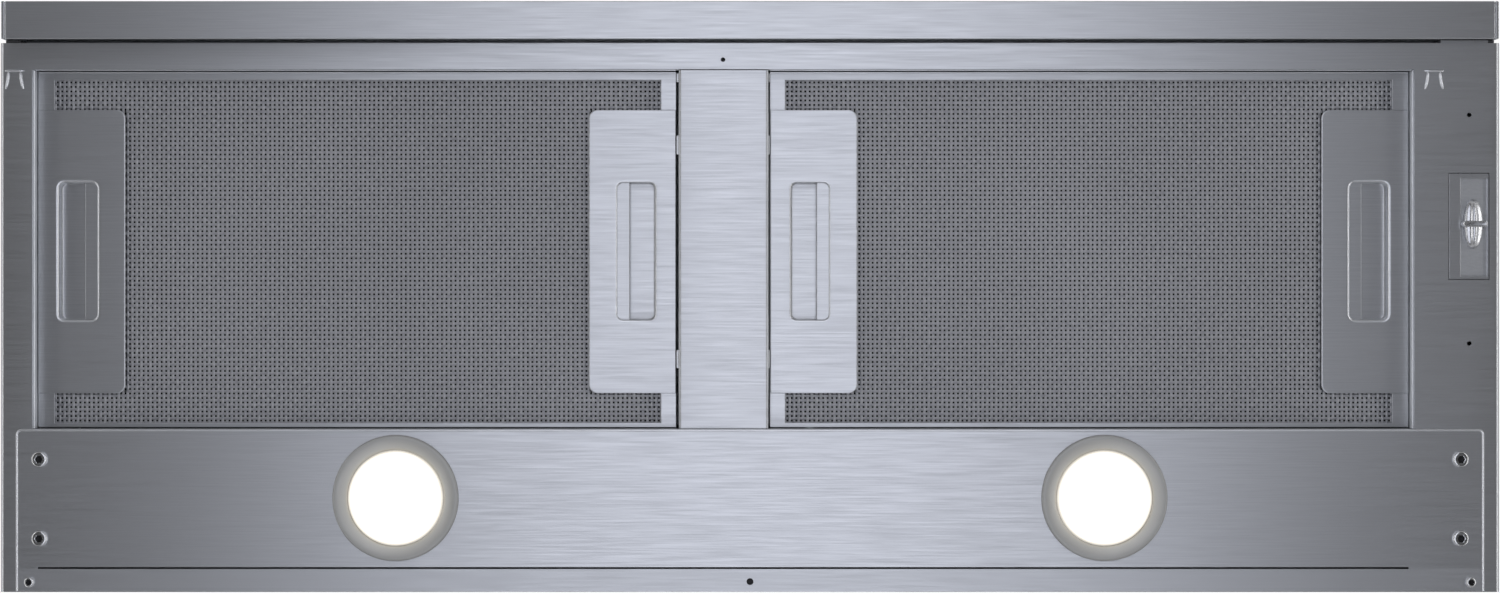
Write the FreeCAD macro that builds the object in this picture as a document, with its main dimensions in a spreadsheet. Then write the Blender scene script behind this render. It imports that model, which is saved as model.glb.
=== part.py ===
import FreeCAD, Part
import math
import os

import Sketcher

# A 30 inch slide-out cooker hood, hung under a wall cabinet. Z is up, the front is -Y, X runs along the
# width. The origin is the centre of the lowest plane, the underside of the front bar. Lengths are in mm.

os.makedirs("parts", exist_ok=True)
doc = FreeCAD.newDocument("SlideOutHood")

# ---------------------------------------------------------------------------------------------
# Driving dimensions
# ---------------------------------------------------------------------------------------------

DIMENSIONS = [
    # overall
    ("bar_half", 378.4), ("bar_front", 149.5), ("bar_back", 130.3), ("bar_height", 45), ("bar_wall", 1.2), ("bar_open", 25),
    ("cap_thick", 2), ("sheet", 1), ("thin_sheet", 0.8), ("total_height", 300),
    # lower pan
    ("face_z", 5), ("pan_half", 380.2), ("pan_front", 128.7), ("pan_rear", 149.5), ("pan_top", 70),
    ("pan_fold", 2.2), ("front_lip_top", 27), ("window_half", 372), ("window_top", 46),
    ("opening_left", 363.8), ("opening_right", 336.7), ("opening_front", 115.5), ("opening_rear", 67.1),
    ("opening_lip_top", 14), ("lamp_bay_half", 350), ("lamp_bay_front", 72), ("lamp_bay_rear", 140),
    ("stop_left", 350), ("stop_right", 374), ("stop_front", 130.1), ("stop_top", 15),
    ("pin_hole", 1.15), ("front_hole_x", 13.7), ("front_hole_y", 120.3),
    ("side_hole_x", 364.5), ("side_hole_front", 92.3), ("side_hole_rear", 23.5),
    # divider and filter rails
    ("divider_left", 36.2), ("divider_right", 9.4), ("divider_front", 115.2), ("divider_rear", 66.8),
    ("divider_z", 5.5), ("divider_top", 24), ("divider_fold", 1.4), ("lug_reach", 1.3), ("lug_low", 12), ("lug_high", 14),
    ("lug_a_from", 114), ("lug_a_to", 109.4), ("lug_b_from", 82.3), ("lug_b_to", 72.6),
    ("lug_c_from", 27), ("lug_c_to", 36.3),
    ("rail_top", 26), ("rail_ledge", 8), ("rail_flange", 11), ("ledge_z", 24.6),
    ("strike_half", 17), ("strike_low", 15.5), ("strike_high", 18.5),
    # grease filters
    ("filter_outer_left", 363.3), ("filter_inner_left", 37.7), ("filter_inner_right", 10.2),
    ("filter_outer_right", 336.1), ("filter_front", 115), ("filter_rear", 66.5),
    ("filter_z", 15), ("filter_top", 24), ("mesh_outer_edge", 8.4), ("mesh_inner_edge", 7.7),
    ("mesh_front", 110.8), ("mesh_rear", 64.3), ("cloth_low", 16), ("cloth_top", 22.9), ("cloth_gap", 0.3),
    # filter handles and latches
    ("handle_wide", 44.6), ("handle_front", 95.5), ("handle_rear", 49.2), ("handle_corner", 4.4),
    ("handle_thick", 0.6), ("pocket_start", 10.2), ("pocket_wide", 20.4), ("pocket_front", 58.8),
    ("pocket_rear", 12.1), ("pocket_corner", 3.5), ("cup_top", 22.3), ("cup_wall", 0.8),
    ("deep_wide", 13.5), ("latch_low", 16), ("latch_high", 17), ("latch_gap", 0.25),
    ("latch_arm", 4), ("latch_underlap", 4), ("tongue_wide", 3.4), ("tongue_half", 14), ("tongue_gap", 0.2),
    # lamp panel
    ("panel_half", 371.7), ("panel_front", 67.1), ("panel_rear", 149), ("panel_corner", 2.5),
    ("slit_left", 361), ("slit_right", 333.6), ("slit_front", 136.8), ("slit_rear", 137.8),
    ("screw_x", 359.8), ("screw_front", 82.2), ("screw_rear", 122.3), ("screw_head", 4), ("screw_shank", 1.9),
    ("screw_drop", 1.8), ("screw_socket", 1.75), ("socket_deep", 1.3), ("screw_long", 9), ("hole_gap", 0.2),
    ("small_x", 365), ("small_y", 144.4), ("small_head", 2.75), ("small_shank", 1.4), ("small_socket", 1.1),
    ("rear_hole", 1.75), ("rear_hole_y", 144.2),
    # lamps
    ("lamp_x", 179.5), ("lamp_y", 101.8), ("lamp_outer", 32), ("lamp_lens", 24.3), ("lamp_bore", 24.4),
    ("lamp_spigot", 26.5), ("lamp_hole", 27), ("lamp_low", 2.4), ("spigot_top", 14), ("lamp_seat", 5.2),
    ("lens_low", 2.8), ("lens_high", 4.8), ("sink_bore", 25.4), ("sink_low", 5.4), ("sink_plate", 12),
    ("sink_top", 27), ("fin_pitch", 5), ("fin_gap", 3), ("clip_thick", 0.6), ("clip_half", 5), ("clip_reach", 12),
    # control
    ("plate_left", 354.3), ("plate_right", 374.4), ("plate_front", 62.6), ("plate_rear", 9), ("plate_low", 5.2),
    ("plate_thick", 1.5), ("plate_gap", 0.3), ("channel_left", 360.2), ("channel_right", 374),
    ("channel_front", 60.1), ("channel_rear", 10.6), ("channel_low", 6.7), ("channel_thick", 1),
    ("knob_x", 366.6), ("knob_y", 37), ("knob_wide", 5.6), ("knob_long", 12.35), ("knob_high", 5),
    ("knob_base", 6.4), ("grip_half", 6.4), ("grip_thin", 1.6), ("grip_low", 0.9),
    ("stem_half_x", 1.5), ("stem_half_y", 2), ("stem_top", 12.5), ("slot_half_x", 2),
    ("slot_front", 48.5), ("slot_rear", 25.5), ("switch_left", 357), ("switch_front", 56), ("switch_rear", 18),
    ("switch_top", 24), ("switch_cavity", 13.5),
    # pull-out carriage
    ("carriage_half", 362), ("carriage_rear", 105), ("carriage_low", 31), ("carriage_top", 43),
    ("carriage_inner", 346), ("carriage_inner_front", 120), ("carriage_inner_rear", 95),
    ("glass_half", 350), ("glass_front", 124), ("glass_rear", 99), ("glass_low", 34), ("glass_thick", 4),
    ("glass_gap", 0.3), ("inner_runner", 370.5), ("inner_low", 33), ("inner_high", 41), ("inner_front", 125),
    ("outer_runner", 366.3), ("outer_low", 30), ("outer_high", 44), ("outer_front", 127), ("outer_rear", 140),
    ("groove_to", 371), ("runner_gap", 0.3),
    # top plate, housing and collar
    ("plate_open_half", 160), ("plate_open_front", 95), ("plate_open_rear", 125),
    ("fix_x", 330), ("fix_front", 90), ("fix_rear", 110), ("fix_hole", 2.5),
    ("box_half", 260), ("box_front", 112), ("box_rear", 143), ("box_flange", 12), ("box_top", 259),
    ("duct_y", 15.5), ("collar_outer", 74.5), ("collar_inner", 73.5), ("collar_flange", 86), ("flap_z", 275),
    ("flap_thick", 1.2), ("flap_radius", 72.5), ("flap_offset", 3.2), ("spindle", 1.5), ("sleeve", 2.4),
    ("spindle_gap", 0.05), ("sleeve_half", 70),
    ("gland_x", 200), ("gland_y", 110), ("gland_bore", 4.5), ("gland_body", 8), ("gland_nut", 11),
    ("gland_low", 250), ("gland_top", 278),
    ("rivet_head", 3.2), ("rivet_shank", 1.6), ("rivet_high", 1.8), ("rivet_deep", 2),
    # blower
    ("fan_y", 24), ("fan_z", 154), ("scroll_start", 70), ("scroll_step", 8), ("scroll_half", 50),
    ("cutoff", 15), ("inlet", 52), ("wheel_outer", 62), ("wheel_inner", 53), ("wheel_half", 46),
    ("blade_thick", 1), ("blade_count", 36), ("wheel_disc", 2), ("wheel_ring", 3), ("hub_radius", 11),
    ("hub_half", 14), ("shaft_radius", 4), ("shaft_from", 16), ("shaft_to", 118), ("shaft_gap", 0.05),
    ("motor_from", 62), ("motor_to", 124), ("motor_radius", 40), ("motor_boss", 14), ("boss_from", 56),
    ("arm_reach", 64), ("arm_half", 7), ("arm_thick", 3), ("strap_from", 70), ("strap_to", 78), ("strap_thick", 2),
    ("cap_x", 205), ("cap_y", 60), ("cap_radius", 17.5), ("cap_height", 58), ("cap_blade", 9),
    # electronics
    ("case_left", 250), ("case_right", 172), ("case_front", 80), ("case_rear", 60), ("case_height", 48),
    ("case_wall", 2), ("lid_thick", 2), ("board_gap", 3), ("board_lift", 6), ("board_thick", 1.6),
    # on/off microswitch
    ("micro_left", 300), ("micro_right", 320), ("micro_front", 109), ("micro_rear", 124), ("micro_low", 33),
    ("micro_high", 43), ("button_front", 105.4), ("button_rear", 115), ("button_radius", 1.5),
    ("button_gap", 0.06), ("button_hole_rear", 119),
]


class Size:
    """A length that carries both its value and the sheet expression that gives it."""

    def __init__(self, value, text):
        self.value = value
        self.text = text

    def __add__(self, other):
        return join(self, other, "+", self.value + number(other))

    def __sub__(self, other):
        return join(self, other, "-", self.value - number(other))

    def __mul__(self, other):
        return join(self, other, "*", self.value * number(other))

    def __truediv__(self, other):
        return join(self, other, "/", self.value / number(other))

    def __radd__(self, other):
        return sized(other) + self

    def __rsub__(self, other):
        return sized(other) - self

    def __rmul__(self, other):
        return sized(other) * self

    def __neg__(self):
        return Size(-self.value, f"(0 - {self.text})")


def number(item):
    return item.value if isinstance(item, Size) else float(item)


def words(item):
    if isinstance(item, Size):
        return item.text
    return f"(0 - {-item})" if item < 0 else str(item)


def sized(item):
    return Size(number(item), words(item))


def join(first, second, sign, value):
    return Size(value, f"({first.text} {sign} {words(second)})")


sheet = doc.addObject("Spreadsheet::Sheet", "Sizes")
s = {}
for row, (alias, value) in enumerate(DIMENSIONS, start=1):
    sheet.set(f"A{row}", alias)
    sheet.set(f"B{row}", str(value))
    sheet.setAlias(f"B{row}", alias)
    s[alias] = Size(value, f"Sizes.{alias}")
doc.recompute()

# ---------------------------------------------------------------------------------------------
# Helpers
# ---------------------------------------------------------------------------------------------

AXES = {
    "x": FreeCAD.Rotation(FreeCAD.Vector(0, 1, 0), 90),
    "y": FreeCAD.Rotation(FreeCAD.Vector(1, 0, 0), -90),
    "z": FreeCAD.Rotation(),
}
THROUGH = 5
nodes = []
counter = {}


def inner_name(word):
    counter[word] = counter.get(word, 0) + 1
    return f"{word}_{counter[word]}"


def bind(item, path, size):
    """Set one property from a size: by expression where it comes from the sheet, else as a number."""
    if isinstance(size, Size):
        item.setExpression(path, size.text)
    elif path.startswith("Placement.Base."):
        item.setExpression(path, words(size))
    else:
        setattr(item, path, size)


def place(item, x, y, z, rotation=None):
    if rotation is not None:
        item.Placement = FreeCAD.Placement(FreeCAD.Vector(), rotation)
    for path, size in (("x", x), ("y", y), ("z", z)):
        bind(item, f"Placement.Base.{path}", size)
    return item


def block(x0, x1, y0, y1, z0, z1):
    """A box between two corners."""
    item = doc.addObject("Part::Box", inner_name("block"))
    low = [sized(v) for v in (x0, y0, z0)]
    high = [sized(v) for v in (x1, y1, z1)]
    for path, a, b in zip(("Length", "Width", "Height"), low, high):
        bind(item, path, b - a)
    return place(item, *low)


def rod(radius, a, b, u, v, axis="z"):
    """A cylinder from a to b along one axis, centred on the two other coordinates u and v."""
    item = doc.addObject("Part::Cylinder", inner_name("rod"))
    bind(item, "Radius", radius)
    start = sized(a)
    bind(item, "Height", sized(b) - start)
    at = {"x": (start, u, v), "y": (u, start, v), "z": (u, v, start)}[axis]
    return place(item, *at, AXES[axis])


def fuse(*items):
    item = doc.addObject("Part::MultiFuse", inner_name("fuse"))
    item.Shapes = list(items)
    item.Refine = True
    return item


def cut(base, *tools):
    item = doc.addObject("Part::Cut", inner_name("cut"))
    item.Base = base
    item.Tool = tools[0] if len(tools) == 1 else fuse(*tools)
    item.Refine = True
    return item


def rounded(base, radius, wanted):
    """Round the edges for which wanted(middle point, direction) is true."""
    doc.recompute()
    item = doc.addObject("Part::Fillet", inner_name("round"))
    item.Base = base
    chosen = []
    for index, edge in enumerate(base.Shape.Edges, start=1):
        if edge.Curve.TypeId != "Part::GeomLine":
            continue
        middle = edge.valueAt((edge.FirstParameter + edge.LastParameter) / 2)
        if wanted(middle, edge.Curve.Direction):
            chosen.append((index, number(radius), number(radius)))
    item.Edges = chosen
    return item


def compound(*items):
    item = doc.addObject("Part::Compound", inner_name("group"))
    item.Links = list(items)
    return item


def node(label, item):
    item.Label = label
    nodes.append(item)
    return item


def origin_plane(body, role):
    return next(f for f in body.Origin.OriginFeatures if f.Role == role)


def profile(body, role, points):
    """A closed polygon sketch whose corners are tied to the sheet."""
    sketch = body.newObject("Sketcher::SketchObject", inner_name("sketch"))
    sketch.AttachmentSupport = [(origin_plane(body, role), "")]
    sketch.MapMode = "FlatFace"
    corners = [FreeCAD.Vector(number(u), number(v), 0) for u, v in points]
    count = len(corners)
    for i in range(count):
        sketch.addGeometry(Part.LineSegment(corners[i], corners[(i + 1) % count]), False)
    for i in range(count):
        sketch.addConstraint(Sketcher.Constraint("Coincident", i, 2, (i + 1) % count, 1))
    for i, pair in enumerate(points):
        for kind, axis_line, size in (("DistanceX", -2, pair[0]), ("DistanceY", -1, pair[1])):
            if number(size) == 0:
                sketch.addConstraint(Sketcher.Constraint("PointOnObject", i, 1, axis_line))
                continue
            at = sketch.addConstraint(Sketcher.Constraint(kind, -1, 1, i, 1, number(size)))
            if isinstance(size, Size):
                sketch.setExpression(f"Constraints[{at}]", size.text)
    return sketch


def turned(points, x, y, z, rotation=None):
    """A body of revolution about its own Z axis, from (radius, height) corners."""
    body = doc.addObject("PartDesign::Body", inner_name("turned"))
    sketch = profile(body, "XZ_Plane", points)
    turn = body.newObject("PartDesign::Revolution", inner_name("turn"))
    turn.Profile = sketch
    turn.ReferenceAxis = (sketch, ["V_Axis"])
    turn.Angle = 360
    return place(body, x, y, z, rotation)


def padded(role, points, length, x=0, y=0, z=0, both_ways=False):
    """A straight extrusion of a closed polygon."""
    body = doc.addObject("PartDesign::Body", inner_name("padded"))
    pad = body.newObject("PartDesign::Pad", inner_name("pad"))
    pad.Profile = profile(body, role, points)
    pad.Midplane = both_ways
    bind(pad, "Length", length)
    return place(body, x, y, z)


def along(axis):
    return lambda middle, direction: abs(direction[axis]) > 0.99


X, Y, Z = 0, 1, 2

# ---------------------------------------------------------------------------------------------
# Lower pan: a folded sheet tray, open at the top, with the front window for the carriage
# ---------------------------------------------------------------------------------------------

floor_z = s["face_z"]


def side_fold(middle, direction):
    return abs(direction.y) > 0.99 and middle.z < number(floor_z) + 3


pan_skin = rounded(
    block(-s["pan_half"], s["pan_half"], -s["pan_front"], s["pan_rear"], floor_z, s["pan_top"]),
    s["pan_fold"], side_fold)
pan_room = rounded(
    block(s["sheet"] - s["pan_half"], s["pan_half"] - s["sheet"], s["sheet"] - s["pan_front"],
          s["pan_rear"] - s["sheet"], floor_z + s["sheet"], s["pan_top"] + THROUGH),
    s["pan_fold"] - s["sheet"], side_fold)
front_window = block(-s["window_half"], s["window_half"], -s["pan_front"] - THROUGH,
                     THROUGH - s["pan_front"], s["front_lip_top"], s["window_top"])
filter_opening = block(-s["opening_left"], s["opening_right"], -s["opening_front"], s["opening_rear"],
                       floor_z - THROUGH, floor_z + THROUGH)
lamp_bay = block(-s["lamp_bay_half"], s["lamp_bay_half"], s["lamp_bay_front"], s["lamp_bay_rear"],
                 floor_z - THROUGH, floor_z + THROUGH)
switch_window = block(s["plate_left"] - s["plate_gap"], s["plate_right"] + s["plate_gap"],
                      -s["plate_front"] - s["plate_gap"], s["plate_gap"] - s["plate_rear"],
                      floor_z - THROUGH, floor_z + THROUGH)


def pan_hole(radius, x, y):
    return rod(radius, floor_z - THROUGH, floor_z + THROUGH, x, y)


pan_holes = [
    pan_hole(s["pin_hole"], -s["front_hole_x"], -s["front_hole_y"]),
    pan_hole(s["pin_hole"], s["side_hole_x"], -s["side_hole_front"]),
    pan_hole(s["pin_hole"], s["side_hole_x"], s["side_hole_rear"]),
]
for side in (-1, 1):
    for y in (s["screw_front"], s["screw_rear"]):
        pan_holes.append(pan_hole(s["screw_shank"] + s["hole_gap"], s["screw_x"] * side, y))
    pan_holes.append(pan_hole(s["small_shank"] + s["hole_gap"], s["small_x"] * side, s["small_y"]))
pan_tray = cut(pan_skin, pan_room, front_window, filter_opening, lamp_bay, switch_window, *pan_holes)
front_lip = block(-s["opening_left"], s["opening_right"], -s["opening_front"] - s["sheet"],
                  -s["opening_front"], floor_z, s["opening_lip_top"])
rear_lip = block(-s["opening_left"], s["opening_right"], s["opening_rear"],
                 s["opening_rear"] + s["sheet"], floor_z, s["opening_lip_top"])
closing_stop = block(s["stop_left"], s["stop_right"], -s["stop_front"], -s["pan_front"],
                     floor_z, s["stop_top"])
node("lower_pan", fuse(pan_tray, front_lip, rear_lip, closing_stop))

# ---------------------------------------------------------------------------------------------
# Filter rails: the recess walls beside the filters, with the latches' strike windows
# ---------------------------------------------------------------------------------------------

latch_y = (s["pocket_rear"] - s["pocket_front"]) / 2


def filter_rail(label, wall_x, outward):
    """wall_x is the wall's inner face; outward is -1 on the left and 1 on the right."""

    def across(a, b, *rest):
        return block(b, a, *rest) if outward < 0 else block(a, b, *rest)

    base_z = floor_z + s["sheet"]
    ends = (-s["opening_front"], s["opening_rear"])
    wall = across(wall_x, wall_x + s["sheet"] * outward, *ends, base_z, s["rail_top"])
    flange = across(wall_x, wall_x + s["rail_flange"] * outward, *ends, base_z, base_z + s["sheet"])
    ledge_in = wall_x - s["rail_ledge"] * outward
    ledge = across(ledge_in, wall_x + s["sheet"] * outward, *ends, s["ledge_z"], s["rail_top"])
    strike = across(wall_x - THROUGH * outward, wall_x + (s["sheet"] + THROUGH) * outward,
                    latch_y - s["strike_half"], latch_y + s["strike_half"], s["strike_low"], s["strike_high"])
    node(label, cut(fuse(wall, flange, ledge), strike))


filter_rail("left_filter_rail", -s["opening_left"], -1)
filter_rail("right_filter_rail", s["opening_right"], 1)

# ---------------------------------------------------------------------------------------------
# Centre divider: an inverted channel with three lugs a side
# ---------------------------------------------------------------------------------------------



def divider_edge(middle, direction):
    return abs(direction.y) > 0.99 and middle.z < number(s["divider_z"]) + 1


divider_shell = cut(
    rounded(block(-s["divider_left"], s["divider_right"], -s["divider_front"], s["divider_rear"],
                  s["divider_z"], s["divider_top"]), s["divider_fold"], divider_edge),
    block(s["sheet"] - s["divider_left"], s["divider_right"] - s["sheet"], s["sheet"] - s["divider_front"],
          s["divider_rear"] - s["sheet"], s["divider_z"] + s["sheet"], s["divider_top"] + THROUGH))
lugs = []
for start, end in ((-s["lug_a_from"], -s["lug_a_to"]), (-s["lug_b_from"], -s["lug_b_to"]),
                   (s["lug_c_from"], s["lug_c_to"])):
    lugs.append(block(-s["divider_left"] - s["lug_reach"], -s["divider_left"], start, end,
                      s["lug_low"], s["lug_high"]))
    lugs.append(block(s["divider_right"], s["divider_right"] + s["lug_reach"] / 2, start, end,
                      s["lug_low"], s["lug_high"]))
node("centre_divider", fuse(divider_shell, *lugs))

# ---------------------------------------------------------------------------------------------
# Lamp panel with its slit, and the screws that hold it
# ---------------------------------------------------------------------------------------------

panel_low = floor_z - s["thin_sheet"]


def panel_corner(middle, direction):
    return abs(direction.z) > 0.99 and middle.y < number(s["panel_front"]) + 1


panel_blank = rounded(
    block(-s["panel_half"], s["panel_half"], s["panel_front"], s["panel_rear"], panel_low, floor_z),
    s["panel_corner"], panel_corner)
slit = block(-s["slit_left"], s["slit_right"], s["slit_front"], s["slit_rear"],
             panel_low - THROUGH, floor_z + THROUGH)
panel_holes = [pan_hole(s["rear_hole"], 0, s["rear_hole_y"])]
for side in (-1, 1):
    panel_holes.append(pan_hole(s["lamp_hole"], s["lamp_x"] * side, s["lamp_y"]))
    for y in (s["screw_front"], s["screw_rear"]):
        panel_holes.append(pan_hole(s["screw_shank"] + s["hole_gap"], s["screw_x"] * side, y))
    panel_holes.append(pan_hole(s["small_shank"] + s["hole_gap"], s["small_x"] * side, s["small_y"]))
node("lamp_panel", cut(panel_blank, slit, *panel_holes))


def screw(head, shank, socket, x, y):
    drop = s["screw_drop"]
    points = [
        (0, s["socket_deep"] - drop), (socket, s["socket_deep"] - drop), (socket, -drop),
        (head * 0.8, -drop), (head, -drop * 0.6), (head, 0), (shank, 0), (shank, s["screw_long"]),
        (0, s["screw_long"])]
    return turned(points, x, y, panel_low)


node("panel_screws", compound(*[
    screw(s["screw_head"], s["screw_shank"], s["screw_socket"], s["screw_x"] * side, y)
    for side in (-1, 1) for y in (s["screw_front"], s["screw_rear"])]))
node("rear_screws", compound(*[
    screw(s["small_head"], s["small_shank"], s["small_socket"], s["small_x"] * side, s["small_y"])
    for side in (-1, 1)]))

# ---------------------------------------------------------------------------------------------
# Lamps: bezel, lens, finned body and spring clips
# ---------------------------------------------------------------------------------------------


def lamp(word, x):
    y = s["lamp_y"]
    bezel = [
        (s["lamp_bore"], s["lamp_low"]), (s["lamp_outer"] - 1, s["lamp_low"]),
        (s["lamp_outer"], s["lamp_low"] + 0.7), (s["lamp_outer"], panel_low), (s["lamp_spigot"], panel_low),
        (s["lamp_spigot"], s["spigot_top"]), (s["sink_bore"], s["spigot_top"]),
        (s["sink_bore"], s["lamp_seat"]), (s["lamp_bore"], s["lamp_seat"])]
    node(f"{word}_lamp_bezel", turned(bezel, x, y, 0))
    node(f"{word}_lamp_lens", turned(
        [(0, s["lens_low"]), (s["lamp_lens"], s["lens_low"]), (s["lamp_lens"], s["lens_high"]),
         (0, s["lens_high"])], x, y, 0))
    sink_radius = s["sink_bore"] - 0.2
    gaps = []
    for step in (-4, -3, -2, -1, 0, 1, 2, 3, 4):
        start = x + s["fin_pitch"] * step - s["fin_gap"] / 2
        gaps.append(block(start, start + s["fin_gap"], y - sink_radius - THROUGH, y + sink_radius + THROUGH,
                          s["sink_plate"], s["sink_top"] + THROUGH))
    node(f"{word}_lamp_body", cut(rod(sink_radius, s["sink_low"], s["sink_top"], x, y), *gaps))


lamp("left", -s["lamp_x"])
lamp("right", s["lamp_x"])


def spring_clip(x, outward):
    """A bent strip beside a lamp's spigot that presses on the panel."""
    root = x + (s["lamp_spigot"] + 0.2) * outward
    tip = root + s["clip_reach"] * outward
    lip = root + s["clip_thick"] * outward
    low = floor_z + 0.1
    ends = (s["lamp_y"] - s["clip_half"], s["lamp_y"] + s["clip_half"])
    foot_x = (tip, root) if outward < 0 else (root, tip)
    wall_x = (lip, root) if outward < 0 else (root, lip)
    return fuse(block(*foot_x, *ends, low, low + s["clip_thick"]),
                block(*wall_x, *ends, low, s["spigot_top"]))


node("lamp_spring_clips", compound(*[
    spring_clip(s["lamp_x"] * side, outward) for side in (-1, 1) for outward in (-1, 1)]))

# ---------------------------------------------------------------------------------------------
# Control: plate, channel, sliding knob and the switch behind it
# ---------------------------------------------------------------------------------------------

node("switch_plate", cut(
    block(s["plate_left"], s["plate_right"], -s["plate_front"], -s["plate_rear"],
          s["plate_low"], s["plate_low"] + s["plate_thick"]),
    block(s["channel_left"], s["channel_right"], -s["channel_front"], -s["channel_rear"],
          s["plate_low"] - THROUGH, s["plate_low"] + THROUGH)))
channel_high = s["channel_low"] + s["channel_thick"]
node("switch_channel", cut(
    block(s["plate_left"], s["plate_right"], -s["plate_front"], -s["plate_rear"],
          s["channel_low"], channel_high),
    block(s["knob_x"] - s["slot_half_x"], s["knob_x"] + s["slot_half_x"], -s["slot_front"], -s["slot_rear"],
          s["channel_low"] - THROUGH, channel_high + THROUGH)))
pod = doc.addObject("Part::Ellipsoid", inner_name("pod"))
bind(pod, "Radius1", s["knob_high"])
bind(pod, "Radius2", s["knob_wide"])
bind(pod, "Radius3", s["knob_long"])
pod.Angle1 = -90
pod.Angle2 = 0
place(pod, s["knob_x"], -s["knob_y"], s["knob_base"])
grip = rounded(
    block(s["knob_x"] - s["grip_half"], s["knob_x"] + s["grip_half"], -s["knob_y"] - s["grip_thin"],
          s["grip_thin"] - s["knob_y"], s["grip_low"], s["knob_base"]), 1.5, along(Z))
stem = block(s["knob_x"] - s["stem_half_x"], s["knob_x"] + s["stem_half_x"], -s["knob_y"] - s["stem_half_y"],
             s["stem_half_y"] - s["knob_y"], s["knob_base"] - 1, s["stem_top"])
node("control_knob", fuse(pod, grip, stem))
node("slide_switch_body", cut(
    block(s["switch_left"], s["plate_right"], -s["switch_front"], -s["switch_rear"],
          channel_high, s["switch_top"]),
    block(s["knob_x"] - s["slot_half_x"], s["knob_x"] + s["slot_half_x"], -s["slot_front"], -s["slot_rear"],
          channel_high - THROUGH, s["switch_cavity"])))

# ---------------------------------------------------------------------------------------------
# Grease filters: frame, cloth, two handle plates with finger pockets, two latches each
# ---------------------------------------------------------------------------------------------


class Ends:
    """One end of a filter: its edge and the direction from it toward the filter's middle."""

    def __init__(self, word, edge, inward, mesh_edge):
        self.word = word
        self.edge = edge
        self.inward = inward
        self.mesh_edge = mesh_edge

    def at(self, distance):
        return self.edge + distance * self.inward

    def span(self, near, far, *rest):
        """A box from near to far, both measured inward from the filter's edge."""
        a, b = self.at(near), self.at(far)
        return block(a, b, *rest) if self.inward > 0 else block(b, a, *rest)


def filter_handle(label, end):
    """Handle plate with a rounded window, and the cup behind the window."""
    low = s["filter_z"] - s["handle_thick"]
    zero = s["sheet"] * 0
    near = s["pocket_start"]
    far = near + s["pocket_wide"]

    def mesh_side(middle, direction):
        distance = (middle.x - number(end.edge)) * end.inward
        return abs(direction.z) > 0.99 and distance > number(s["handle_wide"]) / 2

    plate = rounded(
        end.span(zero, s["handle_wide"], -s["handle_front"], s["handle_rear"], low, s["filter_z"]),
        s["handle_corner"], mesh_side)
    cup = rounded(
        end.span(near - s["cup_wall"], far + s["cup_wall"], -s["pocket_front"] - s["cup_wall"],
                 s["pocket_rear"] + s["cup_wall"], low, s["cup_top"]),
        s["pocket_corner"] + s["cup_wall"], along(Z))
    room = rounded(
        end.span(near, far, -s["pocket_front"], s["pocket_rear"], low - THROUGH,
                 s["cup_top"] - s["cup_wall"]),
        s["pocket_corner"], along(Z))
    latch_way = end.span(near + s["deep_wide"] - s["latch_gap"], far + THROUGH,
                         -s["pocket_front"] - THROUGH, s["pocket_rear"] + THROUGH,
                         s["latch_low"] - s["latch_gap"] / 2, s["latch_high"] + s["latch_gap"])
    node(label, cut(fuse(plate, cup), room, latch_way))


def filter_latch(label, end):
    """The plate seen in the pocket, two arms past the cup, and the tongue at the filter's edge."""
    near = s["pocket_start"]
    levels = (s["latch_low"], s["latch_high"])
    arm_in = s["cup_wall"] + 0.4
    front_out = -s["pocket_front"] - arm_in - s["latch_arm"]
    rear_out = s["pocket_rear"] + arm_in + s["latch_arm"]
    plate_to = near + s["pocket_wide"] + s["latch_underlap"]
    plate = end.span(near + s["deep_wide"], plate_to, front_out, rear_out, *levels)
    bar_to = s["tongue_gap"] + s["thin_sheet"] + s["tongue_wide"]
    bar = end.span(s["thin_sheet"] + s["tongue_gap"], bar_to, front_out, rear_out, *levels)
    arms = [
        end.span(s["thin_sheet"] + s["tongue_gap"], plate_to, front_out, front_out + s["latch_arm"], *levels),
        end.span(s["thin_sheet"] + s["tongue_gap"], plate_to, rear_out - s["latch_arm"], rear_out, *levels)]
    tongue = end.span(s["tongue_gap"], bar_to, latch_y - s["tongue_half"], latch_y + s["tongue_half"], *levels)
    node(label, fuse(plate, bar, tongue, *arms))


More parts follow.
